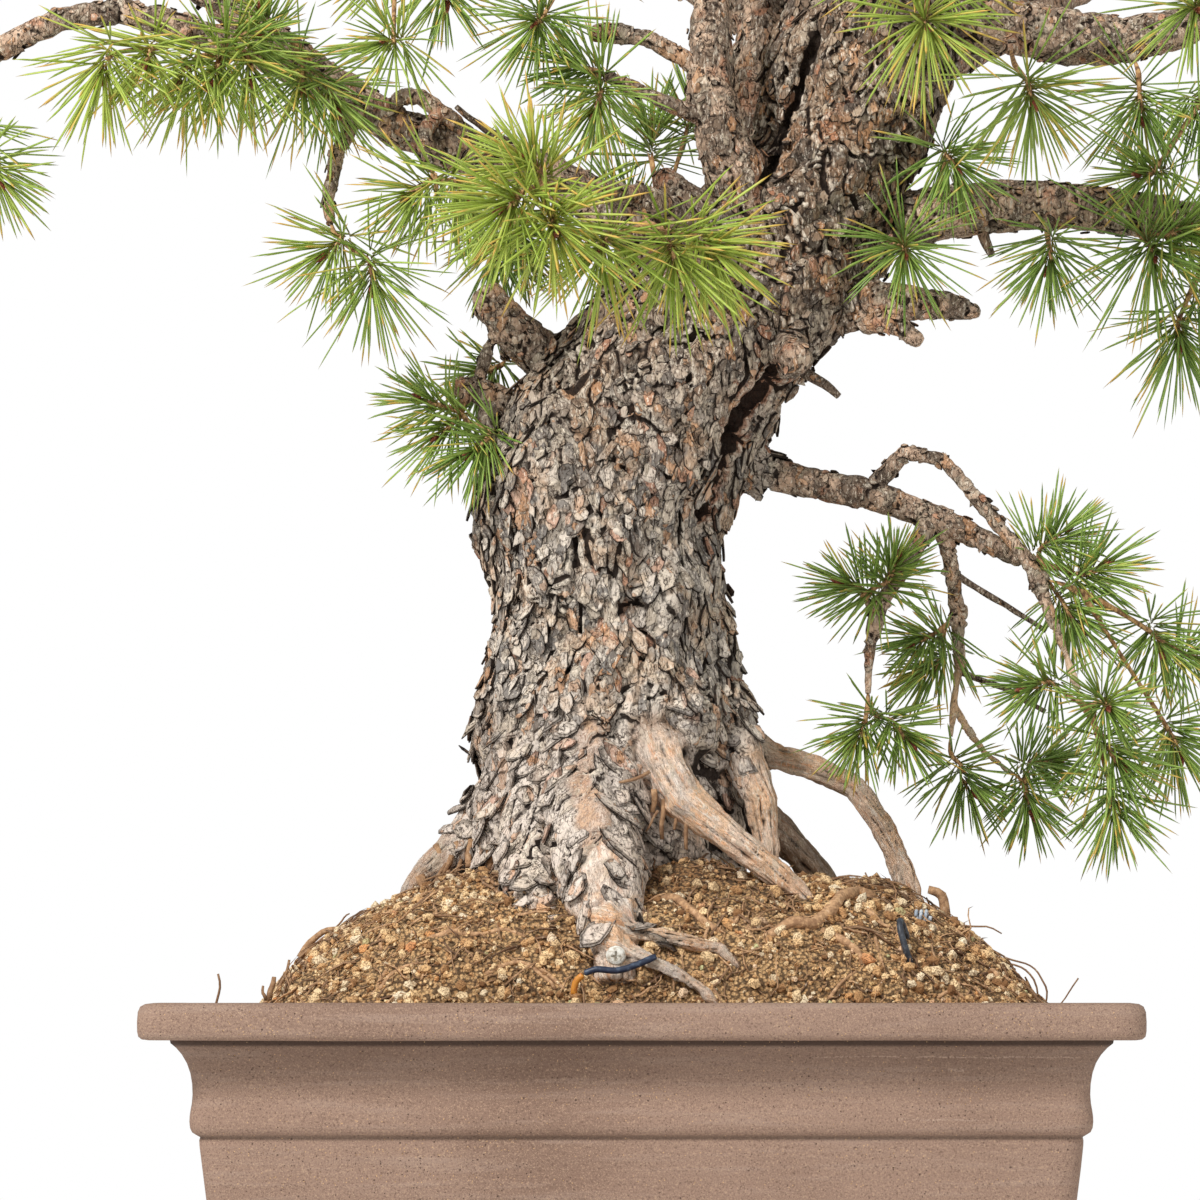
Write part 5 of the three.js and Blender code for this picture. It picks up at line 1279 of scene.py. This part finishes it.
def make_soil():
    top, fill = soil_surface()
    humus, grain, root = (material(name, look) for name, look in
                          (("humus", humus_look), ("grain", grain_look), ("fine_root", root_look)))
    random = np.random.default_rng(7)
    grains, hairs = make_grains(top, random), make_hairs(top, random)
    ground = skin_of(shape_of(top))
    for mesh, name, finish in ((grains, "soil_grains", grain), (top, "soil_mound", humus),
                               (fill, "soil_fill", humus), (hairs, "soil_hairs", root),
                               (make_roots(ground, random), "surface_roots", root)):
        piece_of(mesh, name, finish, ["soil"], smooth=name not in ("soil_grains", "soil_fill"))
    wire = material("coiled_wire", plastic_look((150, 160, 172), (214, 216, 218)))
    piece_of(make_coil(ground, random), "anchor_wire_coil", wire, ["anchor_wire_right"])


# Pot; places in millimetres

# Outer face from the underside to the rim, then the inner face down to the floor: half length, half
# depth, corner radius, height
POT_PROFILE = [
    (193, 139, 8, 14), (195, 141, 8.5, 15), (195.6, 141.6, 9, 20), (197.6, 143.6, 9, 34), (200, 146, 9, 50),
    (202.5, 148.5, 9, 66), (205, 151, 9, 82), (206.8, 152.8, 9, 97), (208, 154, 9, 107), (208.1, 154.1, 9, 109.6),
    (207.7, 153.7, 9, 111), (209.3, 155.3, 9.4, 111.9), (211.2, 157.2, 9.8, 113.2), (212.2, 158.2, 10, 115.4),
    (212.5, 158.5, 10, 118.4), (212.4, 158.4, 10, 121), (212, 158, 10, 124), (211.5, 157.5, 10, 127),
    (211.2, 157.2, 10, 131), (211.4, 157.4, 10, 136), (212.2, 158.2, 10, 141), (213.7, 159.7, 10, 145.6),
    (215.9, 161.9, 10, 149.6), (218.5, 164.3, 10, 152.8), (221, 166.6, 10, 155), (221.4, 166.9, 10, 157),
    (223, 168.4, 10, 158.2), (225.6, 170.8, 10.2, 157.8), (227.6, 172.6, 10.5, 156.7), (230.6, 175.6, 11, 156.3),
    (233.4, 178.4, 11, 156.7), (235, 180, 11, 158.1), (235.5, 180.5, 11, 160.6), (235.6, 180.6, 11, 165.2),
    (235.3, 180.3, 11, 169.8), (234.2, 179.2, 11, 172.4), (232, 177, 10, 173.7), (228, 173, 10, 174.2),
    (218, 163, 9, 174.2), (209, 154, 9, 174), (206, 151, 9, 173), (204.5, 149.5, 8.5, 170.2),
    (203.2, 148.2, 8, 162), (201.6, 146.6, 8, 150), (199, 144, 8, 130), (194, 139.5, 8, 98), (189, 135, 8, 62),
    (184.4, 130.4, 8, 31), (182, 128, 8, 28)]
POT_RING = 264
FOOT_PROFILE = [(24, 16, 5, 0), (26, 18, 5.5, 1.5), (29, 20.4, 6, 10), (31, 22, 6, 16)]
FOOT_RING = 64
FOOT_PLACE = (158, 112)
DRAIN_X, DRAIN_RADIUS = 0.095, 0.014
CORNERS = [(1, 1), (-1, 1), (-1, -1), (1, -1)]
# Painted shade under the rim and the band: a dark line and a darker gradient down the neck under the rim, and a dark
# line under the band; level, reach and strength, in metres
RIM_AND_BAND_SHADE = ((0.1555, 0.022, 0.26), (0.1555, 0.0026, 0.85), (0.1112, 0.0016, 0.4))
# Scratches on the front: middle across, half length, level, half width, in metres
POT_SCRATCHES = [(0.143, 0.068, 0.1502, 0.0005), (0.139, 0.022, 0.1212, 0.0007), (0.147, 0.004, 0.1440, 0.0012)]
PIT_CLUSTER = (-0.045, -0.156, 0.092)


def rounded_rectangle(half_x, half_y, radius, count):
    """Points spaced evenly round a rounded rectangle."""
    quarter = math.pi / 2 * radius
    lengths = np.array([(half_x - radius) * 2, quarter, (half_y - radius) * 2, quarter] * 2)
    ends = np.cumsum(lengths)
    middles = np.array(CORNERS) * (half_x - radius, half_y - radius)
    points = []
    for at in np.arange(count) / count * ends[-1]:
        part = int(np.searchsorted(ends, at, side="right"))
        along = at - (ends[part] - lengths[part])
        side = part // 2
        angle = side * math.pi / 2 + math.pi / 2
        if part % 2 == 0:
            out = np.array([math.cos(angle), math.sin(angle)])
            points.append(middles[side] + out * radius + np.array([-out[1], out[0]]) * along)
        else:
            turn = angle + along / radius
            points.append(middles[(side + 1) % 4] + radius * np.array([math.cos(turn), math.sin(turn)]))
    return np.array(points)


def ringed(profile, count, middle=(0, 0)):
    """A closed skin through level rings: half length, half depth, corner radius and height of each."""
    rings = [[Vector((*point, z)) * MM for point in rounded_rectangle(half_x, half_y, radius, count) + middle]
             for half_x, half_y, radius, z in profile]
    shape = bmesh.new()
    bmesh.ops.create_circle(shape, segments=count, radius=1)
    verts, bottom = shape.verts[:], shape.edges[:]
    rim = bottom[:]
    for number, ring in enumerate(rings):
        if number:
            rim, verts = grown_rim(shape, rim)
        for vert, point in zip(verts, ring):
            vert.co = point
    for edges in (bottom, rim):
        bmesh.ops.edgeloop_fill(shape, edges=edges)
    bmesh.ops.recalc_face_normals(shape, faces=shape.faces[:])
    return shape


def clay_look(nodes):
    """Unglazed purplish-brown stoneware: sandy grog, pits, faint smears of the tool and pale dust."""
    place = nodes.object_place()
    smear = nodes.noise(nodes.object_place((0.1, 0.1, 1.5)), 140, 5, 0.6)
    pale_sand, dark_sand, sand = nodes.speckle(place, 1000, 0.54, 0.46)
    pale_grit, dark_grit, grit = nodes.speckle(place, 2300, 0.56, 0.44)
    to_cluster = nodes.distance(nodes.object_place((0.45, 1, 1)), PIT_CLUSTER)
    cluster = nodes.noise(place, 26, 3) + to_cluster.ramp(0.035, 0.01, 0, 0.16)
    colour = nodes.blend(nodes.noise(place, 7, 3, 0.5).ramp(0.35, 0.65), (129, 103, 88), (148, 121, 105)).under(
        (smear.ramp(0.48, 0.7, 0, 0.55), (160, 136, 121)),
        (pale_sand * 0.75, (178, 148, 124)), (dark_sand * 0.8, (102, 78, 66)),
        (pale_grit * 0.7, (204, 176, 146)), (dark_grit * 0.5, (92, 70, 58)))
    across, inward, up = nodes.axes(place)
    # Painted shade, only on the recessed neck and band inside the rim's outline
    for level, reach, amount in RIM_AND_BAND_SHADE:
        painted_shade = abs(up - level).ramp(reach, reach * 0.25, 0.0, amount)
        for way, inside in ((across, 0.227), (inward, 0.172)):
            painted_shade = painted_shade * abs(way).ramp(inside + 0.002, inside)
        colour = colour.under((painted_shade, (58, 42, 34)))
    uneven = up + nodes.noise(place, 60, 3) * 0.003
    marks = [abs(uneven - level).ramp(thick, thick * 0.3) * abs(across - middle).ramp(half, half * 0.8)
             for middle, half, level, thick in POT_SCRATCHES]
    scratches = (marks[0] | marks[1] | marks[2]) * nodes.math("LESS_THAN", inward, 0)
    masks = []
    for per_metre, reach, limit in ((330, 0.17, 0.97), (600, 0.22, 0.93)):
        spot = nodes.cells(place, per_metre).ramp(reach, reach * 0.5)
        often = limit - cluster.ramp(0.48, 0.66, 0, 0.3)
        masks += [spot * nodes.math("GREATER_THAN", number, often)
                  for number in nodes.cell_numbers(place, per_metre)[:2]]
    pit = masks[0] | masks[2]
    colour = colour.under((scratches * sand.ramp(0.4, 0.6, 0.0, 0.5), (182, 158, 140)),
                          (pit * 0.75, (66, 46, 38)), (masks[3] * 0.7, (214, 172, 124)))
    return surface(colour, 0.85, nodes.bumps((smear, 0.7, 0.9), (sand, 0.5, 0.8), (grit, 0.12, 0.7),
                                             (pit, -0.7, 0.8)), 0.3)


def cut_or_add(mesh, shape, operation):
    """The mesh with another closed shape taken out of it or joined to it."""
    other = linked("tool", mesh_from(shape, "tool"))
    result = modified(mesh, "BOOLEAN", object=other, operation=operation, solver="EXACT")
    bpy.data.objects.remove(other)
    return result


def make_pot():
    mesh = mesh_from(ringed(POT_PROFILE, POT_RING), "pot")
    for side in (-1, 1):
        shape = bmesh.new()
        bmesh.ops.create_cone(shape, cap_ends=True, segments=40, radius1=DRAIN_RADIUS, radius2=DRAIN_RADIUS,
                              depth=0.04, matrix=Matrix.Translation((side * DRAIN_X, 0, 0.02)))
        mesh = cut_or_add(mesh, shape, "DIFFERENCE")
    for corner in itertools.product((-1, 1), repeat=2):
        foot = ringed(FOOT_PROFILE, FOOT_RING, np.array(corner) * FOOT_PLACE)
        mesh = cut_or_add(mesh, foot, "UNION")
    points, normals = places(mesh), vertex_normals(mesh)
    hand = 0.28 * noise(points, 95, 21) + 0.16 * noise(points * np.array([0.4, 0.4, 1.6]), 24, 22)
    hand *= smooth_step(40, 60, points[:, 2]) * (1 - smooth_step(170, 171.5, points[:, 2]) * 0.4)
    set_places(mesh, points + normals * (hand - 0.2 * (hand != 0))[:, None])
    piece_of(mesh, "stoneware_pot", material("stoneware", clay_look), ["pot"])


# Fixings: slot and two colours of each finish

FINISHES = {"anchor_wire_left": ("wire", (30, 40, 62), (66, 80, 100)),
            "anchor_wire_right": ("wire", (44, 48, 56), (84, 90, 98)),
            "wire_sleeve": ("sleeve", (206, 136, 50), (176, 96, 40)),
            "drain_screen_left": ("screen", (40, 40, 40), (70, 66, 60)),
            "drain_screen_right": ("screen", (40, 40, 40), (70, 66, 60))}


def plastic_look(base, worn):
    def look(nodes):
        patch = nodes.noise(nodes.object_place(), 380, 3)
        return surface(nodes.blend(patch.ramp(0.45, 0.7), base, worn), 0.45, nodes.bumps((patch, 0.15, 0.6)))
    return look


def zinc_look(nodes):
    patch = nodes.noise(nodes.object_place(), 500, 4)
    colour = nodes.blend(patch.ramp(0.4, 0.65), (228, 226, 216), (176, 164, 146))
    return surface(colour, 0.5, nodes.bumps((patch, 0.2, 0.6)))


def soft_edges(shape, edges, offset, **settings):
    bmesh.ops.bevel(shape, geom=edges, offset=offset * MM, offset_type="OFFSET", segments=2, profile=0.5,
                    affect="EDGES", material=-1, **settings)


def make_fixings():
    for name, (slot, base, worn) in FINISHES.items():
        shape = merged_copy(name)
        finish = material(name, plastic_look(base, worn))
        if slot == "screen":
            soft_edges(shape, shape.edges[:], 0.3)
            piece_of(mesh_from(shape, name), name + "_mesh", finish, [name])
        else:
            mesh = modified(mesh_from(shape, name), "SUBSURF", levels=2, render_levels=2)
            set_places(mesh, places(mesh) + vertex_normals(mesh) * 0.12)
            piece_of(mesh, name + "_round", finish, [name])
    shape = merged_copy("anchor_screw")
    bmesh.ops.dissolve_limit(shape, angle_limit=0.02, verts=shape.verts[:], edges=shape.edges[:])
    sharp = [e for e in shape.edges if len(e.link_faces) == 2 and e.calc_face_angle() > 0.6]
    soft_edges(shape, sharp, 0.16, clamp_overlap=True)
    piece_of(mesh_from(shape, "screw"), "screw_head", material("zinc", zinc_look), ["anchor_screw"],
             smooth=False)


# Camera, floor and lights

SENSOR = 36
# Lights: name, place, size, power
LIGHTS = (("key", (-1.9, -2.5, 2.7), 0.8, 142), ("fill", (2.4, -2.2, 1.2), 1.6, 14))
LIGHTS_AIM = Vector((0, 0, 0.4))


def set_stage():
    scene = bpy.context.scene
    camera = linked("camera", bpy.data.cameras.new("camera"))
    tilt = math.atan((HORIZON_ROW - PHOTO_SIDE / 2) / PHOTO_FOCAL)
    with_settings(camera, location=CAMERA_PLACE, rotation_euler=(math.pi / 2 + tilt, 0, 0))
    with_settings(camera.data, sensor_width=SENSOR, lens=SENSOR * PHOTO_FOCAL / PHOTO_SIDE, clip_end=60)
    scene.camera = camera

    shape = bmesh.new()
    bmesh.ops.create_circle(shape, cap_ends=True, segments=96, radius=FLOOR_RADIUS)
    floor = linked("floor", mesh_from(shape, "floor"))
    pale = material("floor", lambda nodes: {"Base Color": (0.93, 0.93, 0.92), "Roughness": 0.7})
    floor.data.materials.append(pale)

    world = bpy.data.worlds.new("studio")
    scene.world = world
    world.use_nodes = True
    nodes = Nodes(world.node_tree)
    background = world.node_tree.nodes["Background"]
    nodes.put(background.inputs["Color"], (1.0, 1.0, 1.0))
    seen = nodes.add("ShaderNodeLightPath", out="Is Camera Ray")
    nodes.put(background.inputs["Strength"], seen.ramp(0, 1, 0.56, 1.0))

    for name, place, size, power in LIGHTS:
        light = linked(name, with_settings(bpy.data.lights.new(name, "AREA"), size=size, energy=power))
        toward = LIGHTS_AIM - Vector(place)
        with_settings(light, location=place, rotation_euler=toward.to_track_quat("-Z", "Y").to_euler())
    scene.view_settings.view_transform = "Standard"


set_stage()
bark = make_wood()
make_sprays()
make_bare_twigs(bark)
make_soil()
make_pot()
make_fixings()
